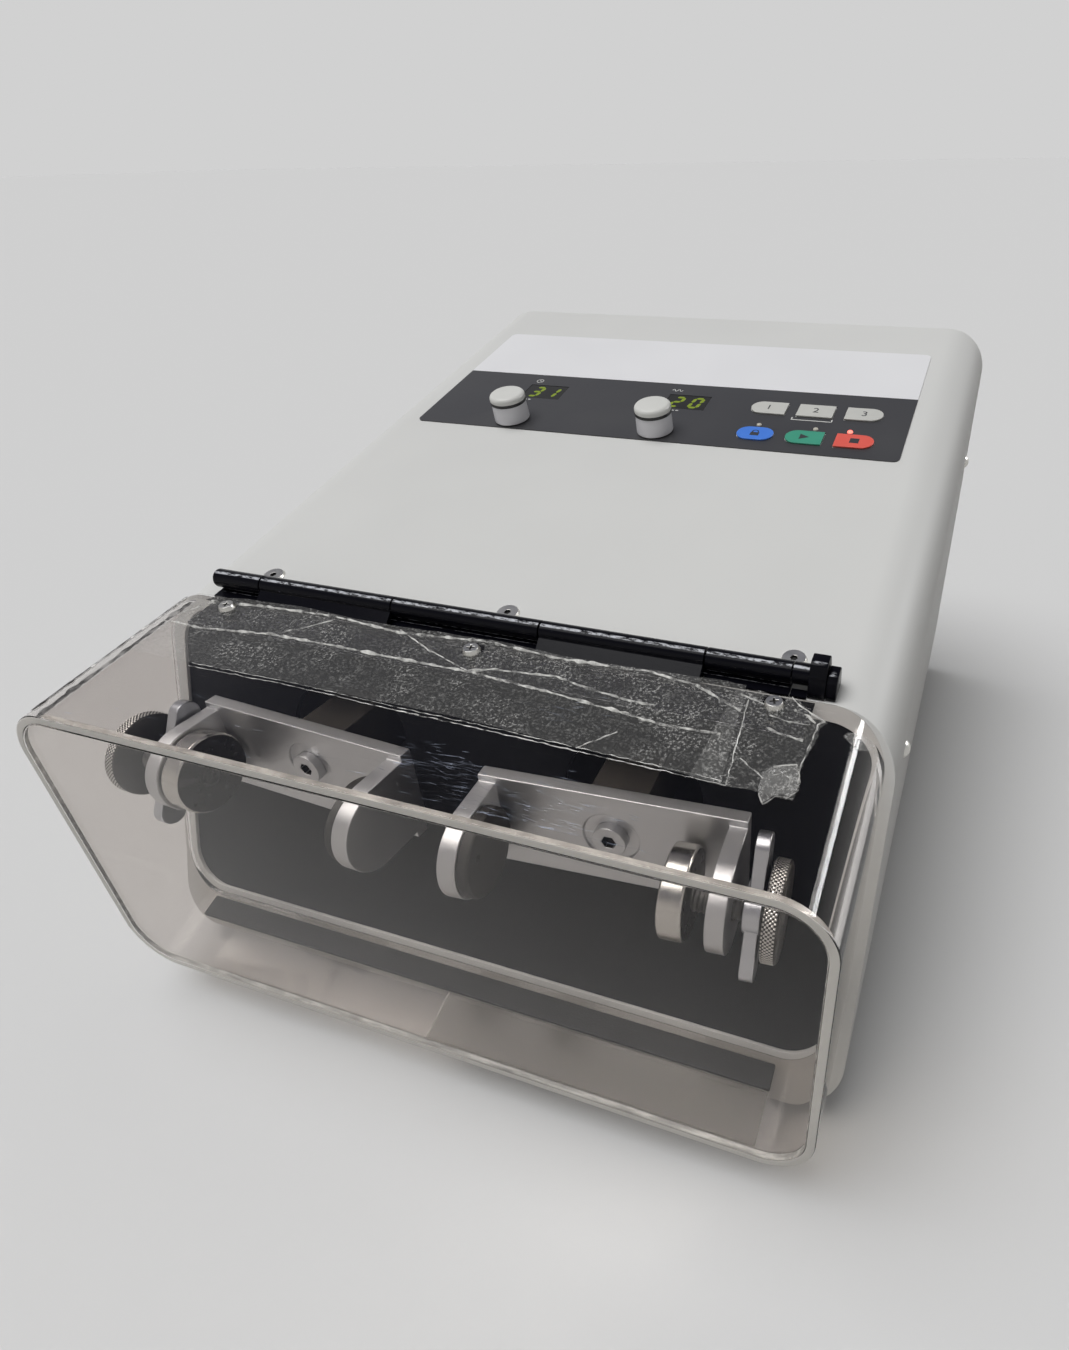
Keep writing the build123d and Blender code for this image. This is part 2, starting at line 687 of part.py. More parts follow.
        # the wing leans back at the top and forward at the bottom
        wing_turn = 90 - side * tilt
        with BuildSketch(across.offset(lever_start + 1)):
            SlotOverall(57, 13, rotation=wing_turn)
        extrude(amount=5.5)
        with BuildSketch(across.offset(lever_start - 1)):
            Circle(spindle_radius + 0.07)
        extrude(amount=9, mode=Mode.SUBTRACT)
    lock_lever.part.label = "lock_lever_" + tag
    export_step(lock_lever.part, "parts/lock_lever_" + tag + ".step")

    # connecting rod from the crank pin to the drive shaft in the middle
    pin_at = pivot + y_dir * crank_length
    with BuildPart() as connecting_rod:
        with BuildSketch(Plane(origin=(pin_at.X, pin_at.Y, rod_level[tag]), x_dir=(1, 0, 0))):
            Circle(10)
            with Locations((-side * pivot_x / 2, 0)):
                Rectangle(pivot_x, 14)
            with Locations((-side * pivot_x, 0)):
                Circle(big_end_radius)
            Circle(5.06, mode=Mode.SUBTRACT)
            with Locations((-side * pivot_x, 0)):
                Circle(big_end_bore, mode=Mode.SUBTRACT)
        extrude(amount=10)
    connecting_rod.part.label = "connecting_rod_" + tag
    export_step(connecting_rod.part, "parts/connecting_rod_" + tag + ".step")

# drive frame plate, carrying the pivots and the motor
frame_low = swing_z - 32
frame_thick = 12.0
shaft_y = pivot_y + crank_length * math.cos(swing_r)
frame_front_y = pivot_y - 52.5
frame_rear_y = pivot_y + 127.5
column_x = pivot_x + 46.0
column_spots = [(x, y) for y in (frame_front_y + 12, frame_rear_y - 12) for x in (-column_x, column_x)]
with BuildPart() as drive_frame:
    with BuildSketch(Plane.XY.offset(frame_low)):
        with Locations((0, (frame_front_y + frame_rear_y) / 2)):
            RectangleRounded(2 * column_x + 28, frame_rear_y - frame_front_y, 12)
        with Locations((0, shaft_y)):
            Circle(14, mode=Mode.SUBTRACT)
        with Locations((-pivot_x, pivot_y), (pivot_x, pivot_y)):
            Circle(10.05, mode=Mode.SUBTRACT)
    extrude(amount=frame_thick)
drive_frame.part.label = "drive_frame"
export_step(drive_frame.part, "parts/drive_frame.step")

# four turned columns between the chassis plate and the drive frame
with BuildPart() as frame_columns:
    with BuildSketch(Plane.XY.offset(chassis_z + chassis_thick)):
        with Locations(*column_spots):
            Circle(10)
    extrude(amount=frame_low - chassis_z - chassis_thick)
frame_columns.part.label = "frame_columns"
export_step(frame_columns.part, "parts/frame_columns.step")

# pivot shafts with a shoulder below and a cap above each arm
with BuildPart() as pivot_shafts:
    with BuildSketch(Plane.XY.offset(frame_low)):
        with Locations((-pivot_x, pivot_y), (pivot_x, pivot_y)):
            Circle(10)
    extrude(amount=swing_z + 21 - frame_low)
    with BuildSketch(Plane.XY.offset(frame_low + frame_thick)):
        with Locations((-pivot_x, pivot_y), (pivot_x, pivot_y)):
            Circle(14)
    extrude(amount=swing_z - 15.3 - frame_low - frame_thick)
    with BuildSketch(Plane.XY.offset(swing_z + 15.3)):
        with Locations((-pivot_x, pivot_y), (pivot_x, pivot_y)):
            Circle(14)
    extrude(amount=3)
pivot_shafts.part.label = "pivot_shafts"
export_step(pivot_shafts.part, "parts/pivot_shafts.step")

# motor under the frame
motor_radius = 52.0
with BuildPart() as motor_body:
    with BuildSketch(Plane.XY.offset(chassis_z + chassis_thick + 4)):
        with Locations((0, shaft_y)):
            Circle(motor_radius)
    extrude(amount=frame_low - chassis_z - chassis_thick - 4)
    fillet(motor_body.edges().group_by(Axis.Z)[0], 5)
    with BuildSketch(Plane.XY.offset(frame_low)):
        with Locations((0, shaft_y)):
            Circle(8.06)
    extrude(amount=-12, mode=Mode.SUBTRACT)
motor_body.part.label = "motor_body"
export_step(motor_body.part, "parts/motor_body.step")

# drive shaft with two opposite eccentrics and a balance disc
ecc_x = crank_length * math.sin(swing_r)
ecc_y = math.sqrt(throw * throw - ecc_x * ecc_x)
with BuildPart() as eccentric_shaft:
    with BuildSketch(Plane.XY.offset(frame_low - 11)):
        with Locations((0, shaft_y)):
            Circle(8)
    extrude(amount=swing_z + 24 - frame_low + 11)
    with BuildSketch(Plane.XY.offset(rod_level["left"])):
        with Locations((ecc_x, shaft_y + ecc_y)):
            Circle(12.0)
    extrude(amount=10)
    with BuildSketch(Plane.XY.offset(rod_level["right"])):
        with Locations((-ecc_x, shaft_y - ecc_y)):
            Circle(12.0)
    extrude(amount=10)
    with BuildSketch(Plane.XY.offset(swing_z - 5)):
        with Locations((0, shaft_y)):
            Circle(24)
    extrude(amount=10)
eccentric_shaft.part.label = "eccentric_shaft"
export_step(eccentric_shaft.part, "parts/eccentric_shaft.step")

# control label film on the sloped top
with BuildPart() as control_label:
    with BuildSketch(top_plane):
        with Locations((0, (label_low + label_high) / 2)):
            RectangleRounded(label_width, label_high - label_low, 4)
        with Locations(*knob_spots):
            Circle(4.2, mode=Mode.SUBTRACT)
        with Locations(*display_spots):
            Rectangle(display_width, display_height, mode=Mode.SUBTRACT)
        with Locations(*led_spots):
            Circle(1.8, mode=Mode.SUBTRACT)
        with Locations(*[(k[1], k[2]) for k in key_spots]):
            Rectangle(key_length + 0.8, key_width + 0.8, mode=Mode.SUBTRACT)
    extrude(amount=label_thick)
control_label.part.label = "control_label"
export_step(control_label.part, "parts/control_label.step")

# two setting knobs, each a body with a ring and a domed cap
for tag, spot in (("left", knob_spots[0]), ("right", knob_spots[1])):
    knob_origin = top_plane.from_local_coords(Vector(spot[0], spot[1], 0))
    knob_plane = Plane(origin=knob_origin, x_dir=(1, 0, 0), z_dir=top_plane.z_dir)
    with BuildPart() as knob_body:
        with BuildSketch(knob_plane.offset(1.2)):
            Circle(knob_radius)
        extrude(amount=10.8, taper=1.5)
        with BuildSketch(knob_plane.offset(1.2)):
            Circle(3.08)
        extrude(amount=10, mode=Mode.SUBTRACT)
    knob_body.part.label = "knob_body_" + tag
    export_step(knob_body.part, "parts/knob_body_" + tag + ".step")
    with BuildPart() as knob_ring:
        with BuildSketch(knob_plane.offset(12.0)):
            Circle(knob_radius + 0.1)
        extrude(amount=1.8)
    knob_ring.part.label = "knob_ring_" + tag
    export_step(knob_ring.part, "parts/knob_ring_" + tag + ".step")
    with BuildPart() as knob_cap:
        with BuildSketch(knob_plane.offset(13.8)):
            Circle(knob_radius)
        extrude(amount=3.8)
        fillet(knob_cap.edges().filter_by(GeomType.CIRCLE).sort_by(Axis.Z)[-1], 2.4)
    knob_cap.part.label = "knob_cap_" + tag
    export_step(knob_cap.part, "parts/knob_cap_" + tag + ".step")

# encoders under the knobs
with BuildPart() as encoders:
    with BuildSketch(top_plane.offset(board_n)):
        with Locations(*knob_spots):
            Rectangle(14, 14)
    extrude(amount=-board_n - sheet - 0.6)
    with BuildSketch(top_plane.offset(-sheet - 0.6)):
        with Locations(*knob_spots):
            Circle(4.0)
    extrude(amount=3.2)
    with BuildSketch(top_plane):
        with Locations(*knob_spots):
            Circle(3.0)
    extrude(amount=10.6)
encoders.part.label = "encoders"
export_step(encoders.part, "parts/encoders.step")

# two number displays in the label windows
with BuildPart() as displays:
    with BuildSketch(top_plane.offset(board_n)):
        with Locations(*display_spots):
            Rectangle(display_width - 0.4, display_height - 0.4)
    extrude(amount=-board_n + 0.4)
displays.part.label = "displays"
export_step(displays.part, "parts/displays.step")

# indicator lamps
with BuildPart() as indicator_leds:
    with BuildSketch(top_plane.offset(board_n)):
        with Locations(*led_spots):
            Circle(1.6)
    extrude(amount=-board_n + 0.9)
indicator_leds.part.label = "indicator_leds"
export_step(indicator_leds.part, "parts/indicator_leds.step")

# control board with a small push switch under each key
with BuildPart() as control_board:
    with BuildSketch(top_plane.offset(board_n)):
        with Locations((0, (label_low + label_high) / 2)):
            Rectangle(label_width - 15, label_depth - 7.8)
    extrude(amount=-1.6)
    with BuildSketch(top_plane.offset(board_n)):
        with Locations(*[(k[1], k[2]) for k in key_spots]):
            Rectangle(6, 6)
    extrude(amount=3.2)
control_board.part.label = "control_board"
export_step(control_board.part, "parts/control_board.step")

with BuildPart() as board_standoffs:
    with BuildSketch(top_plane.offset(board_n)):
        with Locations(*standoff_spots):
            RegularPolygon(3.2, 6)
    extrude(amount=-board_n - sheet)
board_standoffs.part.label = "board_standoffs"
export_step(board_standoffs.part, "parts/board_standoffs.step")

# six keys: a low cap in the label cutout on a stem above its switch
for name, x, v, ends in key_spots:
    with BuildPart() as key:
        with BuildSketch(top_plane.offset(0.6)):
            with Locations((x, v)):
                if ends == "both":
                    SlotOverall(key_length, key_width)
                else:
                    Rectangle(key_length, key_width)
            if ends == "left":
                with Locations((x - key_length / 2 + key_width / 4, v)):
                    Rectangle(key_width / 2, key_width, mode=Mode.SUBTRACT)
                with Locations((x - key_length / 2 + key_width / 2, v)):
                    Circle(key_width / 2)
            if ends == "right":
                with Locations((x + key_length / 2 - key_width / 4, v)):
                    Rectangle(key_width / 2, key_width, mode=Mode.SUBTRACT)
                with Locations((x + key_length / 2 - key_width / 2, v)):
                    Circle(key_width / 2)
        extrude(amount=0.9)
        with BuildSketch(top_plane.offset(0.7)):
            with Locations((x, v)):
                Circle(2.5)
        extrude(amount=-6.9)
    key.part.label = name
    export_step(key.part, "parts/" + name + ".step")

# mains inlet, power switch and supply at the rear
with BuildPart() as mains_inlet:
    with BuildSketch(Plane.XZ.offset(-rear_panel_y)):
        with Locations((inlet_x, inlet_z)):
            RectangleRounded(50, 31, 4)
    extrude(amount=-2.4)
    with BuildSketch(Plane.XZ.offset(-rear_panel_y)):
        with Locations((inlet_x, inlet_z)):
            Rectangle(47, 27)
    extrude(amount=24)
    with BuildSketch(Plane.XZ.offset(-rear_panel_y - 2.4)):
        with Locations((inlet_x, inlet_z)):
            RectangleRounded(25, 17, 3)
    extrude(amount=18, mode=Mode.SUBTRACT)
    with BuildSketch(Plane.XZ.offset(-rear_panel_y + 15.6)):
        with Locations((inlet_x - 7, inlet_z - 1), (inlet_x, inlet_z + 2.5), (inlet_x + 7, inlet_z - 1)):
            Rectangle(2, 4)
    extrude(amount=-11.4)
mains_inlet.part.label = "mains_inlet"
export_step(mains_inlet.part, "parts/mains_inlet.step")

rocker_axis_y = rear_panel_y - 6.0
with BuildPart() as switch_housing:
    with BuildSketch(Plane.XZ.offset(-rear_panel_y)):
        with Locations((switch_x, inlet_z)):
            RectangleRounded(25, 33, 2)
    extrude(amount=-1.6)
    with BuildSketch(Plane.XZ.offset(-rear_panel_y)):
        with Locations((switch_x, inlet_z)):
            Rectangle(21.6, 29.6)
    extrude(amount=18)
    with BuildSketch(Plane.XZ.offset(-rear_panel_y - 1.6)):
        with Locations((switch_x, inlet_z)):
            Rectangle(18, 26)
    extrude(amount=14, mode=Mode.SUBTRACT)
    with BuildSketch(Plane.YZ.offset(switch_x - 20)):
        with Locations((rocker_axis_y, inlet_z)):
            Circle(1.5 + running)
    extrude(amount=40, mode=Mode.SUBTRACT)
switch_housing.part.label = "switch_housing"
export_step(switch_housing.part, "parts/switch_housing.step")

# the switch's rocker turns on two stub pins in the housing's walls
with BuildPart() as power_rocker:
    with BuildSketch(Plane.YZ.offset(switch_x - 8.5)):
        with BuildLine():
            Polyline(
                (rocker_axis_y - 3, inlet_z - 4),
                (rocker_axis_y + 4.6, inlet_z - 10.0),
                (rocker_axis_y + 8.0, inlet_z - 10.0),
                (rocker_axis_y + 6.4, inlet_z),
                (rocker_axis_y + 9.6, inlet_z + 9.8),
                (rocker_axis_y + 6.4, inlet_z + 10.0),
                (rocker_axis_y - 3, inlet_z + 4),
                close=True,
            )
        make_face()
    extrude(amount=17)
    with BuildSketch(Plane.YZ.offset(switch_x - 10.6)):
        with Locations((rocker_axis_y, inlet_z)):
            Circle(1.5)
    extrude(amount=21.2)
power_rocker.part.label = "power_rocker"
export_step(power_rocker.part, "parts/power_rocker.step")

supply_x = 125.5 - width / 2
supply_y = rear_y - 100.5
with BuildPart() as power_supply:
    with BuildSketch(Plane.XY.offset(chassis_z + chassis_thick)):
        with Locations((supply_x, supply_y)):
            RectangleRounded(110, 130, 3)
    extrude(amount=52)
    with BuildSketch(Plane.XY.offset(chassis_z + chassis_thick + 52)):
        with Locations((supply_x, supply_y)):
            with GridLocations(12, 0, 8, 1):
                Rectangle(5, 110)
    extrude(amount=-3, mode=Mode.SUBTRACT)
power_supply.part.label = "power_supply"
export_step(power_supply.part, "parts/power_supply.step")
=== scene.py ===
# Mixer mill: two jar clamps rock behind a clear hood at the front of a sloped sheet steel housing.
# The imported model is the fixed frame, in metres. Sizes below are in mm and are scaled by MM.
import json
import math
import random

import bmesh
import bpy
from mathutils import Matrix, Vector, noise


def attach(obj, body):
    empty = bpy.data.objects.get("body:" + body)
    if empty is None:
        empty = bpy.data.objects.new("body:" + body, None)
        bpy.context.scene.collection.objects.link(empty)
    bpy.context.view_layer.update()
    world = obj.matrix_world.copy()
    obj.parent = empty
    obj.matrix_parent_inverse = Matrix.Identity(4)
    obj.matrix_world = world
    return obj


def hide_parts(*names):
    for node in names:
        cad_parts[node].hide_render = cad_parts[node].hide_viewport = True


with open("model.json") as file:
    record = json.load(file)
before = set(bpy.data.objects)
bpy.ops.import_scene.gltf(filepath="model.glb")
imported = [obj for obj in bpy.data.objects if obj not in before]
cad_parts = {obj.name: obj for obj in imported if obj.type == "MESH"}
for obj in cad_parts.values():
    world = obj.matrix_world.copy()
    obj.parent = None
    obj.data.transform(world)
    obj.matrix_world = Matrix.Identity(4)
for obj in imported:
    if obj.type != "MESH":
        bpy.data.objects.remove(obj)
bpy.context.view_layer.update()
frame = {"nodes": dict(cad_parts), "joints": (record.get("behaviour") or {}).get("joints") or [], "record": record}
scene = bpy.context.scene
MM = 0.001
joints = {j["name"]: j for j in frame["joints"]}

# The camera stands over the right front corner and looks down along the sloped top. Its place,
# lens and shift were solved from points on the photograph, with the machine's outer size held.


def linked(name, data):
    """A new object in the scene."""
    made = bpy.data.objects.new(name, data)
    scene.collection.objects.link(made)
    return made


view_point = Vector((193.5, -402.8, 369.7)) * MM
look = Vector((-0.2812, 0.7734, -0.5681)).normalized()
roll = math.radians(-1.117)
level = look.cross(Vector((0, 0, 1))).normalized()
upright = level.cross(look)
camera = linked("camera", bpy.data.cameras.new("camera"))
scene.camera = camera
camera.data.sensor_width = 36.0
camera.data.lens = 21.774
camera.data.shift_x = -0.1130
camera.data.shift_y = 0.02825
camera.data.clip_start = 0.01
camera_axes = Matrix(
    (
        level * math.cos(roll) + upright * math.sin(roll),
        upright * math.cos(roll) - level * math.sin(roll),
        -look,
    )
).transposed()
camera.matrix_world = Matrix.Translation(view_point) @ camera_axes.to_4x4()

# Studio: a room with pale grey walls and a darker ceiling, one large soft lamp over the left
# shoulder, and a narrow window lamp behind on the right, which only draws bright lines on gloss.
scene.view_settings.view_transform = "Standard"


def linear(code):
    """An sRGB hex colour as the linear colour that a socket takes."""
    parts = [int(code[i : i + 2], 16) / 255 for i in (1, 3, 5)]
    return [v / 12.92 if v <= 0.04045 else ((v + 0.055) / 1.055) ** 2.4 for v in parts] + [1.0]


def add(owner, kind, sockets=None, **settings):
    """One shader node. Sockets, by name or number, take a value, an output or a node's first output."""
    made = owner.node_tree.nodes.new("ShaderNode" + kind)
    for name, value in settings.items():
        setattr(made, name, value)
    for name, value in (sockets or {}).items():
        if isinstance(value, bpy.types.Node):
            value = value.outputs[0]
        if isinstance(value, bpy.types.NodeSocket):
            owner.node_tree.links.new(value, made.inputs[name])
        else:
            made.inputs[name].default_value = value
    return made


def directly_seen(owner):
    """1 for rays from the camera, off gloss and through glass, which all show the pale studio."""
    path = add(owner, "LightPath")
    straight, mirrored = path.outputs["Is Camera Ray"], path.outputs["Is Glossy Ray"]
    seen = add(owner, "Math", {0: straight, 1: mirrored}, operation="MAXIMUM")
    return add(owner, "Math", {0: seen, 1: path.outputs["Is Transmission Ray"]}, operation="MAXIMUM")


backdrop = "#d1d1d1"
ceiling = "#6a6c79"
room_light = 0.28
room = bpy.data.worlds.new("room")
scene.world = room
room.use_nodes = True
room.node_tree.nodes.clear()
lit = add(room, "Background", {"Color": (1, 1, 1, 1), "Strength": room_light})
outward = add(room, "TexCoord")
height = add(room, "SeparateXYZ", {"Vector": outward.outputs["Generated"]})
overhead = add(room, "MapRange", {"Value": height.outputs["Z"], "From Min": 0.25, "From Max": 0.60})
walls = add(room, "Mix", {0: overhead, 6: linear(backdrop), 7: linear(ceiling)}, data_type="RGBA")
shown = add(room, "Background", {"Color": walls.outputs[2], "Strength": 1.0})
both = add(room, "MixShader", {0: directly_seen(room), 1: lit, 2: shown})
add(room, "OutputWorld", {"Surface": both})


def lamp(name, kind, place, target, energy, **settings):
    """A lamp at a place in m, aimed at a target."""
    light = linked(name, bpy.data.lights.new(name, kind))
    light.data.energy = energy
    for key, value in settings.items():
        setattr(light.data, key, value)
    aim = Vector(target) - Vector(place)
    light.rotation_euler = aim.to_track_quat("-Z", "Y").to_euler()
    light.location = place
    light.visible_camera = False
    return light


lamp("soft_lamp", "SUN", (-0.7, -0.35, 2.2), (0, 0, 0.1), energy=2.12, angle=math.radians(45))
window_at, window_aim = (1.46, 1.02, 1.11), (0.17, -0.18, 0.17)
window_size = {"shape": "RECTANGLE", "size": 0.74, "size_y": 0.22}
window = lamp("window_lamp", "AREA", window_at, window_aim, energy=15.0, **window_size)
window.visible_diffuse = False

# The floor is matt pale paper, of the same grey as the room where the lamps light it. What it
# throws back on the object is as low as the dark bench that such a machine stands on gives.
floor_half = 30.0
floor_mesh = bpy.data.meshes.new("floor")
floor_corners = ((-1, -1, 0), (1, -1, 0), (1, 1, 0), (-1, 1, 0))
floor_mesh.from_pydata([Vector(corner) * floor_half for corner in floor_corners], [], [(0, 1, 2, 3)])
linked("floor", floor_mesh)
paper = bpy.data.materials.new("matt_paper")
paper.use_nodes = True
paper.node_tree.nodes.clear()
matt = add(paper, "BsdfDiffuse", {"Color": linear("#d8d8d8")})
bench = add(paper, "BsdfDiffuse", {"Color": linear("#8b8782")})
both = add(paper, "MixShader", {0: directly_seen(paper), 1: bench, 2: matt})
add(paper, "OutputMaterial", {"Surface": both})
floor_mesh.materials.append(paper)

# Housing: 2 mm sheet steel bent to a tube with large round bends, sprayed light grey and stoved.
# The paint is satin with a fine orange peel, and years on a bench have left its tone uneven.
carrier = {node: body for body, nodes in frame["record"]["behaviour"]["bodies"].items() for node in nodes}


def blank(name):
    """An empty material, and the object coordinates that its patterns are laid on."""
    material = bpy.data.materials.new(name)
    material.use_nodes = True
    material.node_tree.nodes.clear()
    return material, add(material, "TexCoord").outputs["Object"]


def surfaced(material, sockets, **more):
    """Ends a material in one principled shader. Names in more have _ for each space."""
    more = {key.replace("_", " "): value for key, value in more.items()}
    add(material, "OutputMaterial", {"Surface": add(material, "BsdfPrincipled", {**sockets, **more})})
    return material


def grained(name, low, high, patch, rough, swing, grain, relief, stretch=(1, 1, 1), **sockets):
    """A finish whose colour wanders between two hexes over patch mm, with a grain in mm and its relief."""
    material, place = blank(name)
    at = add(material, "Mapping", {"Vector": place, "Scale": stretch})
    wide = add(material, "TexNoise", {"Vector": at, "Scale": 1000 / patch, "Detail": 4.0})
    fine = add(material, "TexNoise", {"Vector": at, "Scale": 1000 / grain, "Detail": 3.0})
    tone = add(material, "Mix", {0: wide, 6: linear(low), 7: linear(high)}, data_type="RGBA")
    limits = {"From Min": 0.3, "From Max": 0.7, "To Min": rough - swing, "To Max": rough + swing}
    dull = add(material, "MapRange", {"Value": wide, **limits})
    bumps = add(material, "Bump", {"Height": fine, "Distance": relief * MM})
    skin = {"Base Color": tone.outputs[2], "Roughness": dull, "Normal": bumps}
    return surfaced(material, skin, **sockets)


def dressed(finish, *names):
    """CAD nodes whose shape is right keep it and take this finish."""
    for name in names:
        data = frame["nodes"][name].data
        data.materials.clear()
        data.materials.append(finish)


def evened(made):
    """Keeps large flats flat in shading, so that clear sheet doesn't bend what is seen through it."""
    weigh = made.modifiers.new("even_flats", "WEIGHTED_NORMAL")
    weigh.keep_sharp = True
    return made


def placed(name, form, finish, body, replaces=(), smooth=20):
    """A bmesh in metres as a piece that rides on a body."""
    bmesh.ops.recalc_face_normals(form, faces=form.faces)
    data = bpy.data.meshes.new(name)
    form.to_mesh(data)
    form.free()
    for flat in data.polygons:
        flat.use_smooth = True
    data.set_sharp_from_angle(angle=math.radians(smooth))
    data.materials.append(finish)
    made = linked(name, data)
    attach(made, body)
    if replaces:
        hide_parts(*replaces)
    return made


def eased(node, finish, edge=0.4, steps=2):
    """A CAD node's shape with its sharp edges broken by edge mm, which stands for the node."""
    form = bmesh.new()
    form.from_mesh(frame["nodes"][node].data)
    bmesh.ops.remove_doubles(form, verts=form.verts, dist=0.002 * MM)
    bmesh.ops.dissolve_limit(form, angle_limit=math.radians(0.4), verts=form.verts, edges=form.edges)
    sharp = [e for e in form.edges if len(e.link_faces) == 2 and e.calc_face_angle() > math.radians(30)]
    bmesh.ops.bevel(form, geom=sharp, offset=edge * MM, segments=steps, profile=0.5, affect="EDGES")
    return evened(placed("eased_" + node, form, finish, carrier[node], [node], smooth=50))


stoved_paint = grained(
    "stoved_satin_paint", "#d0d0ce", "#d6d6d4", 90, 0.46, 0.05, 0.9, 0.012, IOR=1.5, Specular_IOR_Level=0.2
)
eased("housing_shell", stoved_paint, 0.35)

# Inside and round the housing: galvanised chassis plate and stiffener, a black powder coated
# front panel with an oval hole for each arm, a painted vented rear panel and moulded rubber feet.
# Dipped zinc: a dull metal whose grey wanders from crystal to crystal.
galvanised = grained("galvanised_steel", "#9a9da0", "#b4b7b9", 14, 0.42, 0.08, 3.0, 0.01, Metallic=0.9)
dressed(galvanised, "chassis_plate", "stiffener_bar", "board_standoffs")

# Powder coat: an even black with hardly any shine.
powder_black = grained(
    "powder_coated_black", "#121316", "#17181b", 60, 0.6, 0.05, 0.6, 0.005, Specular_IOR_Level=0.1
)
dressed(powder_black, "front_panel")

# The same kind of paint in a darker grey.
rear_paint = grained("rear_panel_paint", "#b9b9b6", "#c2c1be", 70, 0.5, 0.05, 0.9, 0.012)
dressed(rear_paint, "rear_panel")

# Rubber: near black and dull.
foot_rubber = grained("moulded_rubber", "#1d1d1e", "#29292a", 12, 0.72, 0.06, 1.2, 0.03)
eased("feet", foot_rubber, 0.6)

# Zinc plate: bright and faintly warm. The drive recesses are painted dark and dull: painted shade.
zinc_screw = grained("zinc_plated_steel", "#c6c4be", "#d4d2cc", 6.0, 0.30, 0.03, 0.8, 0.002, Metallic=1.0)
recess_painted_shade = grained("screw_recess_painted_shade", "#1b1a19", "#2a2826", 2, 0.6, 0.05, 0.5, 0.01)


def recessed(made, way, reach, depth, deepest=4.0):
    """Paints shade into each screw's drive recess: within reach mm of its axis, from depth mm below its top on."""
    data = made.data
    data.materials.append(recess_painted_shade)
    form = bmesh.new()
    form.from_mesh(data)
    form.faces.ensure_lookup_table()
    left = set(range(len(form.faces)))
    while left:
        group, queue = set(), [left.pop()]
        while queue:
            face = form.faces[queue.pop()]
            group.add(face.index)
            joined = {other.index for side in face.edges for other in side.link_faces} & left
            left -= joined
            queue += joined
        points = [v.co for index in group for v in form.faces[index].verts]
        top = max(p.dot(way) for p in points)
        middle = sum(points, Vector()) / len(points)
        for index in group:
            at = form.faces[index].calc_center_median()
            across = at - middle - way * (at - middle).dot(way)
            if across.length < reach * MM and depth * MM < top - at.dot(way) < deepest * MM:
                form.faces[index].material_index = 1
    form.to_mesh(data)
    form.free()
    return made


dressed(zinc_screw, "side_screws")
slope = math.radians(12)
off_slope = Vector((0, -math.sin(slope), math.cos(slope)))
recessed(eased("top_screws", zinc_screw, 0.15), off_slope, reach=2.3, depth=0.35)

# Hinge: piano hinge of black anodised leaves rolled round a pin, with a painted highlight along the top
# of its barrel. A black strip in front of the barrel is painted shade under it, and a stop block is
# clamped to the pin's end.
edge_y = -133.5
body_high, top_deep = 266, 364
edge_z = body_high - top_deep * math.tan(slope)
edge = Vector((0, edge_y, edge_z))
up_slope = Vector((0, math.cos(slope), math.sin(slope)))


def on_top(x, v, out):
    """A point in mm on the sloped top: across, up the slope from its front edge, and out from it."""
    return edge + Vector((x, 0, 0)) + up_slope * v + off_slope * out


def prism(form, outline, low, high, place_at):
    """A flat shape, points across and up in mm, standing from low to high over a face."""
    under = [form.verts.new(place_at(x, v, low) * MM) for x, v in outline]
    over = [form.verts.new(place_at(x, v, high) * MM) for x, v in outline]
    form.faces.new(over)
    form.faces.new(under[::-1])
    for i in range(len(outline)):
        k = (i + 1) % len(outline)
        form.faces.new((under[i], under[k], over[k], over[i]))


def plates(name, outlines, band, place_at, finish, body):
    """Flat shapes that stand from band's low to its high over a face, as one piece."""
    form = bmesh.new()
    for outline in outlines:
        prism(form, outline, *band, place_at)
    placed(name, form, finish, body)


def oblong(x0, v0, x1, v1):
    """The outline of a rectangle, from two opposite corners."""
    return [(x0, v0), (x1, v0), (x1, v1), (x0, v1)]


# Painted highlight: where the barrel's face turns 13 degrees forward of the slope's normal, its colour is painted
# pale, broken into dashes by noise.
crest = math.radians(13)
highlight_facing = up_slope * -math.sin(crest) + off_slope * math.cos(crest)
hinge_black, place = blank("black_anodised_hinge_painted_highlight")
facing = add(hinge_black, "TexCoord").outputs["Normal"]
toward = add(hinge_black, "VectorMath", {0: facing, 1: highlight_facing}, operation="DOT_PRODUCT").outputs["Value"]
painted_highlight_band = add(hinge_black, "MapRange", {"Value": toward, "From Min": 0.982, "From Max": 0.996})
highlight_dashes_at = add(hinge_black, "Mapping", {"Vector": place, "Scale": (0.35, 1, 1)})
dash_noise = add(hinge_black, "TexNoise", {"Vector": highlight_dashes_at, "Scale": 900.0, "Detail": 4.0, "Roughness": 0.7})
highlight_breaks = add(hinge_black, "MapRange", {"Value": dash_noise, "From Min": 0.42, "From Max": 0.56})
bare = add(hinge_black, "Math", {0: painted_highlight_band, 1: highlight_breaks}, operation="MULTIPLY")
tone = add(hinge_black, "Mix", {0: bare, 6: linear("#0c0c12"), 7: linear("#c4c6cc")}, data_type="RGBA")
polish = add(hinge_black, "MapRange", {"Value": dash_noise, "To Min": 0.14, "To Max": 0.26})
surfaced(hinge_black, {"Base Color": tone.outputs[2], "Roughness": polish}, Specular_IOR_Level=0.1)
eased("hinge_leaf_body", hinge_black, 0.3)
eased("hinge_leaf_hood", hinge_black, 0.3)

hinge_left, hinge_right = -155.0, 139.0
knuckle_cuts = [hinge_left, -126.2, -50.0, 26.2, 102.4, hinge_right]
stop_at = 146.0
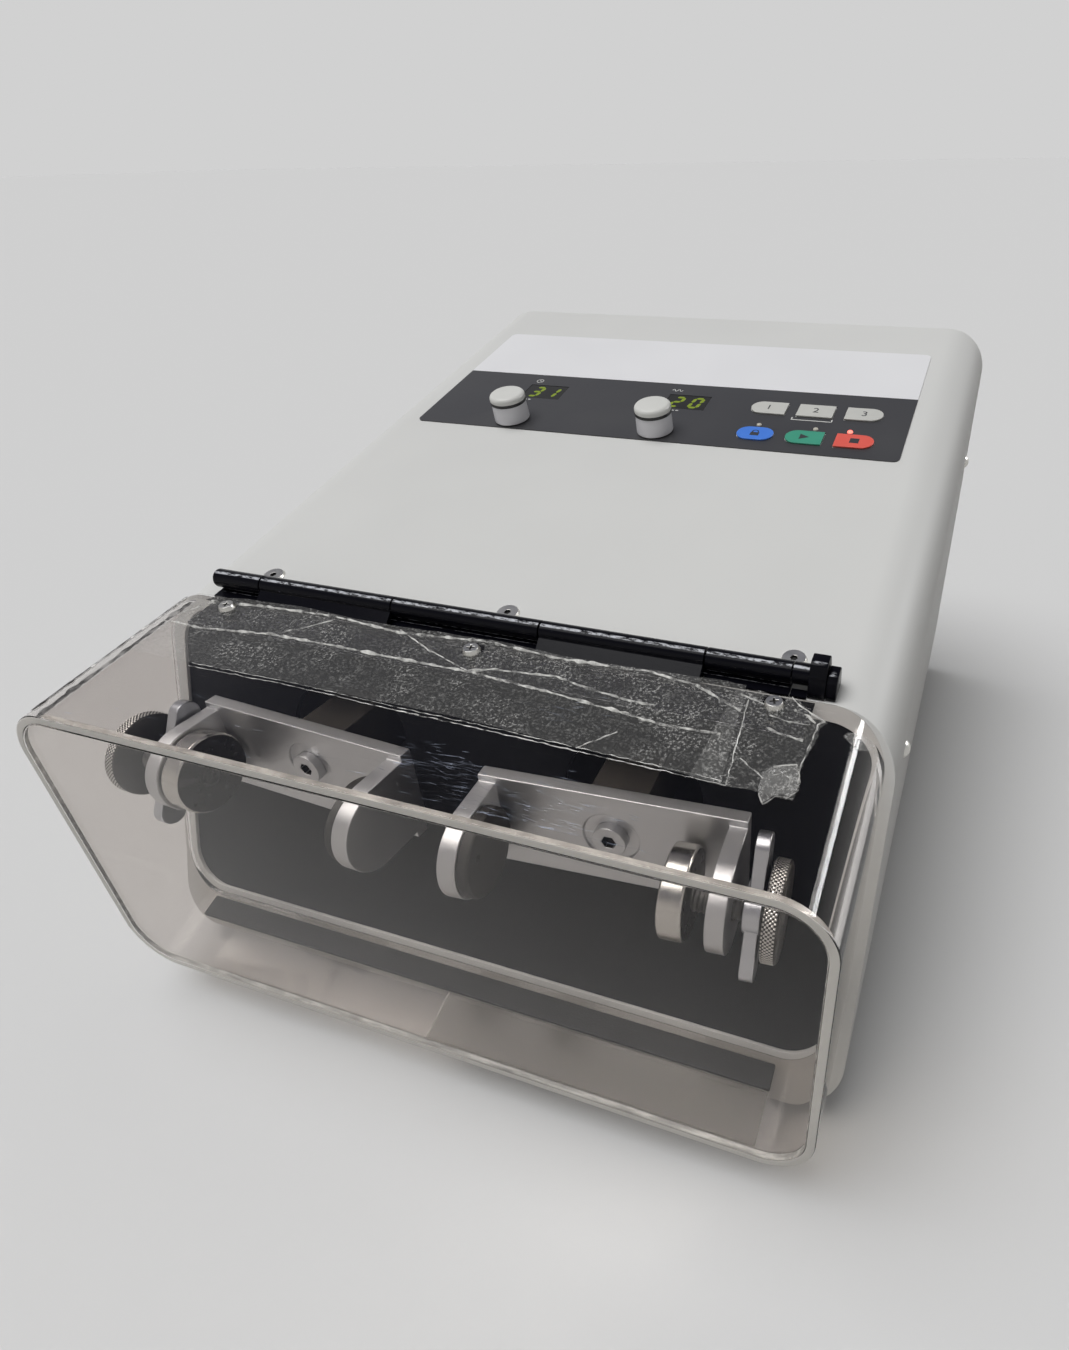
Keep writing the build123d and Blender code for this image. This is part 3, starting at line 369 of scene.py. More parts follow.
# Painted shade: black strips on the top in front of the barrel, where its shaded underside is seen.
strip_gap, strip_front, strip_rear = 0.2, 0.2, 4.4
knuckles = zip(knuckle_cuts, knuckle_cuts[1:] + [stop_at])
shade_strips = [oblong(left + strip_gap, strip_front, right - strip_gap, strip_rear) for left, right in knuckles]
plates("hinge_shade_strip", shade_strips, (0.05, 1.3), on_top, hinge_black, "housing")

pin_v, pin_n = 8.3, 6.4


def round_the_pin(radius, count=32):
    """A circle about the hinge's pin, as points up the slope and out from it."""
    turns = [math.tau * k / count for k in range(count)]
    return [(pin_v + radius * math.cos(turn), pin_n + radius * math.sin(turn)) for turn in turns]


def across_pin(v, out, x):
    """A point in mm for shapes cut across the hinge: up the slope, out from it, and along the pin."""
    return on_top(x, v, out)


pin_radius, sleeve_radius = 2.0, 4.6
stop_wide, end_wide = 7.0, 4.2
stop_outline = [
    (13.7, 0.3), (14.2, 9.0), (13.8, 13.2), (12.6, 14.6), (7.6, 14.9), (5.8, 14.2), (3.6, 9.4), (1.3, 3.4),
    (1.0, 0.3),
]
end_outline = [(12.8, 0.3), (13.0, 9.0), (11.2, 10.6), (5.2, 10.4), (3.4, 8.0), (1.6, 3.0), (1.4, 0.3)]
form = bmesh.new()
prism(form, round_the_pin(pin_radius), hinge_left - 1.0, hinge_right + 0.5, across_pin)
prism(form, round_the_pin(sleeve_radius), hinge_right + 0.2, stop_at - 0.1, across_pin)
prism(form, stop_outline, stop_at, stop_at + stop_wide, across_pin)
end_at = stop_at + stop_wide + 0.2
prism(form, end_outline, end_at, end_at + end_wide, across_pin)
rims = [e for e in form.edges if e.calc_length() > 1.0 * MM and e.verts[0].co.x > (stop_at - 0.05) * MM]
bmesh.ops.bevel(form, geom=rims, offset=0.45 * MM, segments=2, profile=0.5, affect="EDGES")
placed("stop_block", form, hinge_black, "housing", ["hinge_pin"], 40)

# Hood: 4 mm cast acrylic sheet heated and bent to a tube, with a 5 mm front plate cemented in.
# The sheet is clear and faintly smoky. It mirrors less than new acrylic does, so its IOR is lower.
slant = math.radians(19.6)
hood_half = 181.0
hood_wall = 4.0
hood_bend = 24.0
plate_thick = 5.0
hood_front = -230.5
front_drop, low_drop = 9.2, 167.9
rear_rise, rear_drop = 3.4, 156.0
rim_gap, hinge_room = 1.2, 3.9
rim_y = edge_y - rim_gap / math.cos(slant)
hood_top = Vector((0, hood_front, edge_z - front_drop))
hood_back = Vector((0, rim_y + rear_rise * math.tan(slant) - hinge_room, edge_z + rear_rise))
hood_low = Vector((0, hood_front, edge_z - low_drop))
hood_low_back = Vector((0, rim_y - rear_drop * math.tan(slant), edge_z - rear_drop))
along_top = (hood_back - hood_top).normalized()
along_low = (hood_low_back - hood_low).normalized()
top_normal = Vector((0, -along_top.z, along_top.y))
low_normal = Vector((0, along_low.z, -along_low.y))
bend_steps = 20


def hood_ring(inward, end, inset):
    """Points round the hood, inward from its outside and inset from its front (0) or rear (1) end."""
    if end:
        lie = (hood_low_back - hood_back).normalized()
        facing = Vector((1, 0, 0)).cross(lie).normalized()
        on = hood_back + facing * inset * (1 if facing.y < 0 else -1)
    else:
        facing = Vector((0, 1, 0))
        on = hood_top + facing * inset
    points = []
    top_sheet, low_sheet = (hood_top, along_top, top_normal), (hood_low, along_low, low_normal)
    corners = ((1, top_sheet, 0), (1, low_sheet, 1), (-1, low_sheet, 0), (-1, top_sheet, 1))
    for side, (start, along, normal), backward in corners:
        centre = start - normal * hood_bend + Vector((side * (hood_half - hood_bend), 0, 0))
        for step in range(bend_steps + 1):
            turn = math.pi / 2 * (bend_steps - step if backward else step) / bend_steps
            lean = Vector((side * math.sin(turn), 0, 0)) + normal * math.cos(turn)
            point = centre + lean * (hood_bend - inward)
            reach = (on - point).dot(facing) / along.dot(facing)
            points.append(point + along * reach)
    return points


def lofted(rings, closed=False, caps=False):
    """A bmesh skinned over rings of points in mm, each ring a closed loop."""
    form = bmesh.new()
    loops = [[form.verts.new(p * MM) for p in ring] for ring in rings]
    for one, other in zip(loops, loops[1:] + (loops[:1] if closed else [])):
        for i in range(len(one)):
            k = (i + 1) % len(one)
            form.faces.new((one[i], one[k], other[k], other[i]))
    if caps:
        form.faces.new(loops[0])
        form.faces.new(loops[-1])
    return form


def corner_steps(radius, count=3):
    """(along, down) offsets of a quarter round, from the face it leaves to the face it meets."""
    turns = [math.pi / 2 * k / count for k in range(count + 1)]
    return [(radius * (1 - math.sin(turn)), radius * (1 - math.cos(turn))) for turn in turns]


def faced(made, finish, chosen):
    """Gives another finish to those faces of a piece that chosen picks."""
    made.data.materials.append(finish)
    for flat in made.data.polygons:
        if chosen(flat):
            flat.material_index = len(made.data.materials) - 1


acrylic, place = blank("cast_acrylic")
wiped = add(acrylic, "Mapping", {"Vector": place, "Scale": (0.06, 1, 1)})
streaks = add(acrylic, "TexNoise", {"Vector": wiped, "Scale": 900.0, "Detail": 5.0, "Roughness": 0.7})
patches = add(acrylic, "TexNoise", {"Vector": place, "Scale": 14.0, "Detail": 2.0})
worn = add(acrylic, "MapRange", {"Value": streaks, "From Min": 0.56, "From Max": 0.75})
where = add(acrylic, "MapRange", {"Value": patches, "From Min": 0.5, "From Max": 0.7})
scratched = add(acrylic, "Math", {0: worn, 1: where}, operation="MULTIPLY")
dull = add(acrylic, "MapRange", {"Value": scratched, "To Min": 0.015, "To Max": 0.22})
ripple = add(acrylic, "Bump", {"Height": streaks, "Distance": 0.0006 * MM})
clear_sheet = {"Base Color": linear("#ebe7e4"), "IOR": 1.28, "Transmission Weight": 1.0}
clear = add(acrylic, "BsdfPrincipled", {**clear_sheet, "Roughness": dull, "Normal": ripple})
through = add(acrylic, "BsdfTransparent", {"Color": linear("#e8e6e3")})
shaded = add(acrylic, "LightPath").outputs["Is Shadow Ray"]
add(acrylic, "OutputMaterial", {"Surface": add(acrylic, "MixShader", {0: shaded, 1: clear, 2: through})})

sheet_steps = corner_steps(0.7)
wall_path = [(down, 0, along) for along, down in sheet_steps[::-1]]
wall_path += [(down, 1, along) for along, down in sheet_steps]
wall_path += [(hood_wall - down, 1, along) for along, down in sheet_steps[::-1]]
wall_path += [(hood_wall - down, 0, along) for along, down in sheet_steps]
wall = lofted([hood_ring(*step) for step in wall_path], closed=True)
clear_hood = evened(placed("clear_hood", wall, acrylic, "hood", ["hood_tube"], 50))

cement_gap = 0.12
plate_steps = corner_steps(0.5)
plate_path = [(hood_wall + cement_gap + down, 0, along) for along, down in plate_steps[::-1]]
plate_path += [(hood_wall + cement_gap + down, 0, plate_thick - along) for along, down in plate_steps]
plate = lofted([hood_ring(*step) for step in plate_path], caps=True)
hood_window = placed("hood_window", plate, acrylic, "hood", ["hood_front_plate"], 50)
evened(hood_window)

# The wall's front edge was sawn and only scraped, so it is frosted and catches the light.
frosted, place = blank("sawn_acrylic_edge")
saw_marks = add(frosted, "TexNoise", {"Vector": place, "Scale": 700.0, "Detail": 4.0})
saw_depth = add(frosted, "Bump", {"Height": saw_marks, "Distance": 0.05 * MM})
sawn = {"Base Color": linear("#f0ede7"), "Roughness": 0.35, "Normal": saw_depth}
surfaced(frosted, sawn, IOR=1.49, Transmission_Weight=0.2)
front_edge = (hood_front + 0.2) * MM
faced(clear_hood, frosted, lambda flat: abs(flat.normal.y) > 0.95 and flat.center.y < front_edge)

# The cement round the front plate set white and grey, with bubbles.
cemented = grained("cemented_joint", "#5d5b57", "#e2e0db", 3.5, 0.25, 0.08, 0.7, 0.05, (0.3, 1, 1))
faced(hood_window, cemented, lambda flat: abs(flat.normal.y) < 0.3)

# Closed cell foam strip glued to the hood's floor, which rests on the panel's lower edge. Its cut
# cells leave it dull and faintly pitted.
black_foam = grained("closed_cell_foam", "#19191a", "#222223", 6, 0.9, 0.03, 0.8, 0.12)
eased("floor_strip", black_foam, 0.5)

# Pan head screws, zinc plated, hold the hood's strip to the hinge leaf. Their cross recesses are
# painted dark as painted shade.
recessed(eased("hood_screws", zinc_screw, 0.2), top_normal, reach=2.6, depth=0.3)

# Clear packing tape, stuck along the hood's rear edge by a user: crumpled, cloudy with trapped
# air, with raised folds whose near white is a painted highlight, and a torn right end. It is two
# lengths that overlap.


def hazed(name, clear_part, cloud_part, tint, rough):
    """Clear film with trapped air: how much it covers where it lies flat, and where it is cloudy."""
    material, place = blank(name)
    bubbles = add(material, "TexNoise", {"Vector": place, "Scale": 820.0, "Detail": 4.0, "Roughness": 0.7})
    clouds = add(material, "TexNoise", {"Vector": place, "Scale": 52.0, "Detail": 3.0})
    dots = {"From Min": 0.5, "From Max": 0.64, "To Max": cloud_part}
    speckle = add(material, "MapRange", {"Value": bubbles, **dots})
    cloudy = add(material, "MapRange", {"Value": clouds, "From Min": 0.42, "From Max": 0.62, "To Min": 0.3})
    haze = add(material, "Math", {0: speckle, 1: cloudy}, operation="MULTIPLY")
    cover = add(material, "Math", {0: haze, 1: clear_part}, operation="ADD")
    crease = add(material, "Bump", {"Height": bubbles, "Distance": 0.04 * MM})
    film = {"Base Color": linear(tint), "Roughness": rough, "Alpha": cover, "Normal": crease}
    return surfaced(material, film, IOR=1.5)


tape_film = hazed("clear_packing_tape", 0.08, 0.5, "#c6c5c2", 0.16)
flap_film = hazed("doubled_packing_tape", 0.2, 0.5, "#cfcecb", 0.14)


def on_hood(x, v, out):
    """A point in mm on the hood's top: across, back from its rear edge, and out from its surface."""
    flat = hood_half - hood_bend
    if abs(x) <= flat:
        return Vector((x, 0, 0)) + hood_back + along_top * v + top_normal * out
    turn = (abs(x) - flat) / hood_bend
    side = math.copysign(1, x)
    middle = Vector((side * flat, 0, 0)) + hood_back + along_top * v - top_normal * hood_bend
    lean = Vector((side * math.sin(turn), 0, 0)) + top_normal * math.cos(turn)
    return middle + lean * (hood_bend + out)


# Where the tape is torn open round two of the screws, across and back, and how wide.
torn_open = ((0.0, -6.5), (135.5, -6.5))
torn_radius = 4.6
# Two waves along the tape, as shares of its depth: how far back, sway, radians per mm, phase, half
# width, and height in mm.
film_waves = ((0.62, 0.05, 0.035, 1, 0.035, 0.8), (0.80, 0.07, 0.021, 2, 0.03, 0.7))
loose_from = 0.80


def skinned(form, rows, bare=()):
    """Faces between rows of vertices. Those in bare, as row and place in it, are left out."""
    for i, (one, other) in enumerate(zip(rows, rows[1:])):
        for k in range(len(one) - 1):
            if (i, k) not in bare:
                form.faces.new((one[k], other[k], other[k + 1], one[k + 1]))


def taped(name, left, right, front, rear, lift, seed, columns=190, rows=34):
    """Crumpled tape from x left to right and v front to rear, torn open round two of the screws."""
    form = bmesh.new()
    grid = []
    bare = set()
    for i in range(columns + 1):
        line = []
        for k in range(rows + 1):
            s, t = i / columns, k / rows
            x = left(t) + (right(t) - left(t)) * s
            v = front(s) + (rear(s) - front(s)) * t
            near_edge = max(0.0, t - loose_from) / (1 - loose_from)
            crumple = abs(noise.noise(Vector((x * 0.05, v * 0.16, seed)))) * 1.3
            fold = 0.0
            for back, sway, pitch, phase, half, high in film_waves:
                from_crest = abs(t - back - sway * math.sin(x * pitch + phase * seed))
                fold += max(0.0, 1 - from_crest / half) * high
            out = lift + crumple * (0.12 + 0.9 * near_edge) + fold * 0.55
            line.append(form.verts.new(on_hood(x, v, out) * MM))
            if min(math.hypot(x - torn_x, v - torn_v) for torn_x, torn_v in torn_open) < torn_radius:
                bare.add((i, k))
        grid.append(line)
    skinned(form, grid, bare)
    placed(name, form, tape_film, "hood", smooth=25)


def broken_film(name, tint, rough, scale, detail, span, cover, crumple=0.0, **sockets):
    """A film in broken patches: as noise rises over span, how much it hides goes over cover."""
    material, place = blank(name)
    breaks = add(material, "TexNoise", {"Vector": place, "Scale": scale, "Detail": detail})
    limits = {"From Min": span[0], "From Max": span[1], "To Min": cover[0], "To Max": cover[1]}
    hidden = add(material, "MapRange", {"Value": breaks, **limits})
    film = {"Base Color": linear(tint), "Roughness": rough, "Alpha": hidden}
    if crumple:
        film["Normal"] = add(material, "Bump", {"Height": breaks, "Distance": crumple * MM})
    return surfaced(material, film, **sockets)


# A fold of stretched tape is painted nearly white as a painted highlight, glossy and broken up.
fold_highlight_film = broken_film(
    "tape_fold_painted_highlight", "#efeeea", 0.12, 210.0, 4.0, (0.38, 0.60), (0.12, 1.0), crumple=0.25
)


# A fold's section: how far to the side and how high, and the length of one step along it.
fold_section = ((-1, 0.0), (-0.35, 0.75), (0, 1.0), (0.35, 0.7), (1, 0.0))
fold_step = 1.2


def finer(points, cuts=None):
    """Points with more between each two: a fixed number of cuts, or one every fold_step mm."""
    path = []
    for (x0, v0), (x1, v1) in zip(points, points[1:]):
        count = cuts or max(2, int(math.hypot(x1 - x0, v1 - v0) / fold_step))
        path += [(x0 + (x1 - x0) * k / count, v0 + (v1 - v0) * k / count) for k in range(count)]
    return path


def creased(form, points, width, height, seed):
    """A raised fold of film that runs through (across, back) points on the hood's top."""
    path = finer(points) + [points[-1]]
    rows = []
    for index, (x, v) in enumerate(path):
        ahead = path[min(index + 1, len(path) - 1)]
        behind = path[max(index - 1, 0)]
        way = Vector((ahead[0] - behind[0], ahead[1] - behind[1])).normalized()
        beside = Vector((-way.y, way.x))
        wander = 0.5 * noise.noise(Vector((x * 0.3, v * 0.3, seed)))
        swell = 0.4 + 1.5 * abs(noise.noise(Vector((x * 0.17, v * 0.17, seed + 7))))
        row = []
        for side, lift in fold_section:
            at = Vector((x, v)) + beside * (side * width * swell / 2 + wander)
            row.append(form.verts.new(on_hood(at.x, at.y, 0.3 + lift * height * swell) * MM))
        rows.append(row)
    skinned(form, rows)


def folded(name, folds, finish=fold_highlight_film, smooth=20):
    """Raised folds, each with its points, width, height and seed, as one piece on the hood."""
    form = bmesh.new()
    for fold in folds:
        creased(form, *fold)
    placed(name, form, finish, "hood", smooth=smooth)


def ragged(base, swing, pitch, seed):
    """A torn or wavy edge: base mm, moved by up to swing mm in about pitch waves along it."""
    return lambda s: base + swing * noise.noise(Vector((s * pitch, seed, 0.5)))


def front_edge_at(s):
    """Where the long tape's front edge lies, s of the way from its left end to its right end."""
    return -46.5 - 5.5 * max(0, s - 0.6) / 0.4


tape_left, tape_rear = ragged(-158, 8, 3, 1), ragged(2.0, 4, 6, 4)
taped("tape_long", tape_left, lambda t: 128 - 6 * t, front_edge_at, tape_rear, lift=0.25, seed=1.0)
# Each raised fold: its points, across and back, its width and its height. These points, and those of
# the torn end, flap and sticker below, were picked on the photograph and turned to mm.
long_folds = [
    ([(-160, -24), (-151.6, -22.8), (-138.4, -24.1), (-98, -19.4), (-63.6, -19.3), (-33.4, -19.8),
        (7.5, -19.9), (51, -23.5), (77.5, -26.4), (97.8, -29.1), (120.5, -28.1)], 1.5, 0.9),
    ([(-156, -18), (-146.4, -4.7), (-119.7, -1.7), (-78.5, 0.3), (-38.8, -3.2), (2.4, 1.0), (40, -1.6),
        (65.9, -1.3), (79.9, 0.0), (90.6, -1.7), (102, -3.2), (116.8, -10.2), (124.3, -13.7)], 1.6, 1.1),
    ([(-95.8, -18.2), (-85.9, -10.7), (-76.3, -2.6)], 0.9, 0.5),
    ([(-40.1, -1.3), (-19.1, -10.9), (5.8, -19.4)], 0.9, 0.5),
    ([(5.8, -19.4), (16, -15.8), (44.6, -13.1), (61.4, -17), (78.4, -19.1), (90.3, -19.4)], 1.2, 0.8),
    ([(70.4, -49.7), (82.1, -37.4)], 0.7, 0.3),
    ([(-119, -48.6), (-64.4, -48.0), (-7, -49.6), (31.9, -50.2), (92.8, -51.6), (130.1, -52.6)], 0.5, 0.15),
    ([(125.1, -6.5), (126.9, -22.4), (127.9, -35), (130.1, -52.4)], 0.6, 0.2),
    ([(121.7, -4.5), (128.7, -6.2), (138, -10)], 1.3, 0.9),
    ([(136, -20.5), (144, -22.4), (151, -23.5)], 1.5, 0.9),
    ([(141.2, -0.7), (145.8, -5.1), (156.4, -11.3), (154.4, -13.6), (153.7, -27.8), (153, -37.7),
        (154.3, -48.2)], 0.9, 0.6),
    ([(-119, -46.6), (-64.4, -46.2), (-7, -47.8), (31.9, -48.4), (92.8, -49.9), (128, -50.8)], 0.35, 0.1),
    ([(143.8, -39.6), (147.6, -37.4), (151.5, -36.4), (152.9, -39.4)], 1.1, 0.9),
    ([(152.9, -39.4), (154.6, -44), (154.8, -48.0), (152.4, -52.2), (147.8, -53.2), (144.8, -57.4),
        (142.2, -53.4)], 0.5, 0.5),
    ([(144.5, -43.6), (147.6, -41.4), (150.9, -43.2), (151.2, -47.2), (148.0, -50.2)], 0.6, 0.4),
    ([(135.5, -13.2), (143.4, -14.8), (151.6, -14.4)], 0.8, 0.5),
    ([(131, -38.5), (137.4, -43.0), (141.8, -45.6)], 0.7, 0.3),
    ([(144, -8.0), (149.2, -9.6), (153.2, -13.2)], 0.9, 0.7),
]
folded("tape_folds", [(*fold, index * 3.1) for index, fold in enumerate(long_folds)])
# The torn end's edge: how far back, and how far right it reaches there.
torn = [
    (-55.0, 154.2), (-48.6, 154.8), (-42.0, 153.7), (-35.0, 153.7), (-26.1, 155.0), (-20.8, 156.0),
    (-15.8, 155.3), (-11.2, 157.8), (-6.0, 149.5), (0.0, 142.4),
]


def torn_edge(t):
    """How far right the tape's torn end reaches, t of the way from its front to its rear."""
    v = -55.0 + 55.0 * t
    for (v0, x0), (v1, x1) in zip(torn, torn[1:]):
        if v <= v1:
            return x0 + (x1 - x0) * (v - v0) / (v1 - v0) + 0.5 * noise.noise(Vector((v * 0.9, 3.0, 0.5)))
    return torn[-1][1]


end_front, end_rear = ragged(-53, 1.2, 3, 5), ragged(-1.5, 2, 5, 8)
taped("tape_end", lambda t: 116 + 3 * t, torn_edge, end_front, end_rear, lift=0.45, seed=5.0)


def patch(name, outline, lift, crumple, seed, smooth, cuts=6, steps=12):
    """A small piece of film over an outline on the hood: rings from its middle out, crumpled."""
    form = bmesh.new()
    middle = (sum(x for x, v in outline) / len(outline), sum(v for x, v in outline) / len(outline))
    fine = finer(outline + outline[:1], cuts)
    rings = []
    for step in range(1, steps + 1):
        ring = []
        for x, v in fine:
            at = (middle[0] + (x - middle[0]) * step / steps, middle[1] + (v - middle[1]) * step / steps)
            out = lift + crumple * abs(noise.noise(Vector((at[0] * 0.33, at[1] * 0.33, seed)))) * 2
            ring.append(form.verts.new(on_hood(at[0], at[1], out) * MM))
        rings.append(ring)
    hub = form.verts.new(on_hood(middle[0], middle[1], lift + crumple * 0.4) * MM)
    for i in range(len(fine)):
        k = (i + 1) % len(fine)
        form.faces.new((hub, rings[0][i], rings[0][k]))
        for one, other in zip(rings, rings[1:]):
            form.faces.new((one[i], other[i], other[k], one[k]))
    placed(name, form, flap_film, "hood", smooth=smooth)


# The torn end's corner is folded over itself, and a bit of an old clear sticker is on the bend.
flap_outline = [
    (144.6, -58.1), (141.9, -53.4), (140.9, -44.5), (143.8, -39.6), (151.5, -36.2), (152.7, -40.0),
    (154.9, -47.4), (153.6, -52.2), (147.5, -53.5),
]
sticker_outline = [
    (164.4, -16.0), (165.6, -13.0), (170.6, -10.5), (176.2, -9.0), (178.8, -10.0), (177.5, -13.5),
    (171.2, -19.0), (167.5, -17.5),
]
patch("tape_flap", flap_outline, lift=0.9, crumple=0.9, seed=2.0, smooth=15)
patch("sticker_rest", sticker_outline, lift=0.12, crumple=0.05, seed=9.0, smooth=40)

# Wiping has left fine scratches in a few patches on the hood's top, along its width. Their pale
# blue dashes are a painted highlight, and they are drawn wider than real ones so that they show.
scratch_highlight_film = broken_film("wiping_scratches_painted_highlight", "#b9c2d6", 0.35, 160.0, 3.0, (0.4, 0.65), (0.04, 0.5))
# Each patch of scratches: its middle, across and back, its spread both ways, and how many.
scratch_patches = (
    (66, -80, 21, 7.5, 150),
    (22, -71, 15, 5.5, 80),
    (58, -30, 14, 5, 25),
    (-70, -75, 40, 9, 30),
)
scratch_front, scratch_rear = -88.0, -3.0
wiping = random.Random(8)
form = bmesh.new()
for patch_x, patch_v, wide, deep, count in scratch_patches:
    for _ in range(count):
        x, v = wiping.gauss(patch_x, wide), wiping.gauss(patch_v, deep)
        v = max(scratch_front, min(scratch_rear, v))
        long, fat, lean = wiping.uniform(2.5, 13), wiping.uniform(0.10, 0.30), wiping.gauss(0.0, 0.5)
        form.faces.new(
            [
                form.verts.new(on_hood(x + along, v + across, 0.03) * MM)
                for along, across in ((-long / 2, -lean), (0, -fat / 2), (long / 2, lean), (0, fat / 2))
            ]
        )
placed("hood_scratches", form, scratch_highlight_film, "hood")

# Along the left bend a dark line of painted reflection lies on the sheet, with short folds of film
# beside it whose near white is a painted highlight.
bend_reflection_film = broken_film(
    "bend_painted_reflection", "#252321", 0.8, 150.0, 4.0, (0.3, 0.55), (0.35, 0.95), Specular_IOR_Level=0.05
)
bend_reflection_path = [(-167, -2), (-168, -20), (-167.5, -45), (-168, -70), (-167, -90)]
folded("bend_reflection_line", [(bend_reflection_path, 7.0, 0.12, 4.4)], bend_reflection_film, smooth=40)
bend_backs = ((-4, -6.5), (-9, -13), (-20, -22), (-27, -31), (-36, -37.5), (-58, -60))
bend_lines = [[(-165, start), (-165.6, stop)] for start, stop in bend_backs]
folded("bend_folds", [(line, 2.0, 0.6, index * 2.3) for index, line in enumerate(bend_lines)])

# The hood's floor is two sheets cemented edge to edge left of the middle. The right one is covered
# by a dark film of painted shade, and the cement between them shows as a pale line.
floor_painted_shade_film = grained("hood_floor_painted_shade", "#57524b", "#625c54", 40, 0.22, 0.04, 1.0, 0.002, Alpha=0.42)
seam_cement = grained("acrylic_cement", "#a9a6a0", "#bdbab4", 5, 0.25, 0.05, 0.8, 0.02, Alpha=0.7)
seam_x = -4.0
floor_front, floor_rear, floor_right = 6.7, 29.0, 156


def on_floor(x, v, out):
    """A point in mm on the hood's floor, inside: across, back from its front, and up from it."""
    return hood_low + Vector((x, 0, 0)) + along_low * v - low_normal * (hood_wall + out)


shaded_floor_half = [oblong(seam_x, floor_front, floor_right, floor_rear)]
plates("hood_floor_painted_shade_sheet", shaded_floor_half, (0.05, 0.2), on_floor, floor_painted_shade_film, "hood")
seam = [oblong(seam_x - 0.5, floor_front, seam_x + 0.3, floor_rear)]
plates("floor_seam", seam, (0.05, 0.45), on_floor, seam_cement, "hood")

# Clamps: each is a milled aluminium yoke on its rocker arm, with a fixed jaw and a jaw that the
# spindle pushes. The milled faces keep tool lines, drawn 0.45 mm apart, which is coarser than real
# ones, so that they show. The turned rims are brighter, and the jaws' rubber faces dull black.
milled = grained(
    "milled_aluminium", "#cacbcd", "#d6d7d8", 9, 0.42, 0.04, 0.45, 0.006, (0.05, 1, 1), Metallic=1.0
)
# Turned stainless steel: bright, with lines that run round.
turned_steel = grained(
    "turned_stainless", "#cbc9c4", "#d6d4cf", 7, 0.24, 0.03, 0.4, 0.003, (1, 1, 0.2), Metallic=1.0
)
# Rubber is dull black, black oxide a dark satin metal, and phosphated iron rough and dark grey.
jaw_face = grained("rubber_jaw_facing", "#262524", "#33312f", 6, 0.6, 0.07, 0.8, 0.03)
blackened = grained("black_oxide_screw", "#1c1b1a", "#272523", 4, 0.3, 0.05, 0.5, 0.006, Metallic=0.5)
cast = grained("phosphated_cast_iron", "#45423e", "#56524c", 9, 0.5, 0.05, 1.4, 0.05, Metallic=0.6)


def clamp_axes(tag):
    """The clamp's axis: a point on it in mm, the way out along it, and two ways across it."""
    turn = joints["spindle_" + tag + "_turn"]
    out = -Vector(turn["axis"]).normalized()
    ahead = out.cross(Vector((0, 0, 1))).normalized()
    return Vector(turn["pos_m"]) / MM, out, ahead, Vector((0, 0, 1))


def off_axis(flat, axes):
    """How far in mm the middle of a face is from the clamp's axis."""
    from_centre = flat.center / MM - axes[0]
    return (from_centre - axes[1] * from_centre.dot(axes[1])).length


boss_radius = 5.2
for tag, side in (("left", -1), ("right", 1)):
    axes = clamp_axes(tag)
    eased("clamp_yoke_" + tag, milled, 0.5)
    recessed(eased("yoke_screw_" + tag, milled, 0.3), axes[2] * side, reach=3.0, depth=0.3)
    eased("fixed_jaw_" + tag, jaw_face, 0.3)
    jaw = eased("moving_jaw_" + tag, turned_steel, 0.3)
    faced(jaw, jaw_face, lambda flat: flat.normal.dot(axes[1]) < -0.95)
    faced(jaw, blackened, lambda flat: off_axis(flat, axes) < boss_radius)
    eased("rocker_arm_" + tag, cast, 0.6)

# Spindles: free cutting steel rod with a rolled 2 mm thread, blackened by grease. The hand
# wheel on the end is a stainless disc with a diamond knurl pressed into its rim.
thread_pitch, thread_depth, thread_radius = 2.0, 0.75, 5.75
knob_radius, knob_thick = 19.0, 6.5
knurl_pitch, knurl_depth = 1.7, 0.5
# Grease darkens the thread. The wheel is bright where it is pressed. Its knurl's valleys take painted
# shade, and its flat faces inside the rim a painted reflection of dark surroundings.
greased = grained("greased_thread_steel", "#6c6a68", "#8a8885", 4, 0.36, 0.08, 0.6, 0.01, Metallic=1.0)
knurled = grained("knurled_stainless", "#dad8d3", "#e4e2dd", 7, 0.3, 0.03, 0.5, 0.002, Metallic=1.0)
painted_shade_and_reflection = grained("wheel_painted_shade_and_reflection", "#3a3937", "#474542", 6, 0.4, 0.05, 0.5, 0.006, Metallic=0.7)


def turned(name, axes, stations, sides, radius_at, finish, body, replaces, smooth=40, closed=False):
    """A turned shape: stations are (along, radius) in mm, and radius_at may cut a thread or knurl."""
    centre, out, across, upward = axes
    rings = []
    for along, radius in stations:
        ring = []
        for k in range(sides):
            turn = math.tau * k / sides
            way = across * math.cos(turn) + upward * math.sin(turn)
            ring.append(centre + out * along + way * radius_at(along, turn, radius))
        rings.append(ring)
    return placed(name, lofted(rings, closed, not closed), finish, body, replaces, smooth)


def spread(start, stop, count):
    """Evenly spaced values with both ends."""
    return [start + (stop - start) * k / count for k in range(count + 1)]


def threaded(along, turn, radius):
    """Cuts the 2 mm thread where the rod has its full radius."""
    if radius < thread_radius:
        return radius
    phase = (along / thread_pitch - turn / math.tau) % 1.0
    return radius - thread_depth * abs(2 * phase - 1)


def diamonds(along, turn, radius):
    """Presses the diamond knurl where the disc has its full radius."""
    if radius < knob_radius:
        return radius
    one = ((turn * knob_radius + along) / knurl_pitch) % 1.0
    other = ((turn * knob_radius - along) / knurl_pitch) % 1.0
    return radius - knurl_depth * max(abs(2 * one - 1), abs(2 * other - 1))


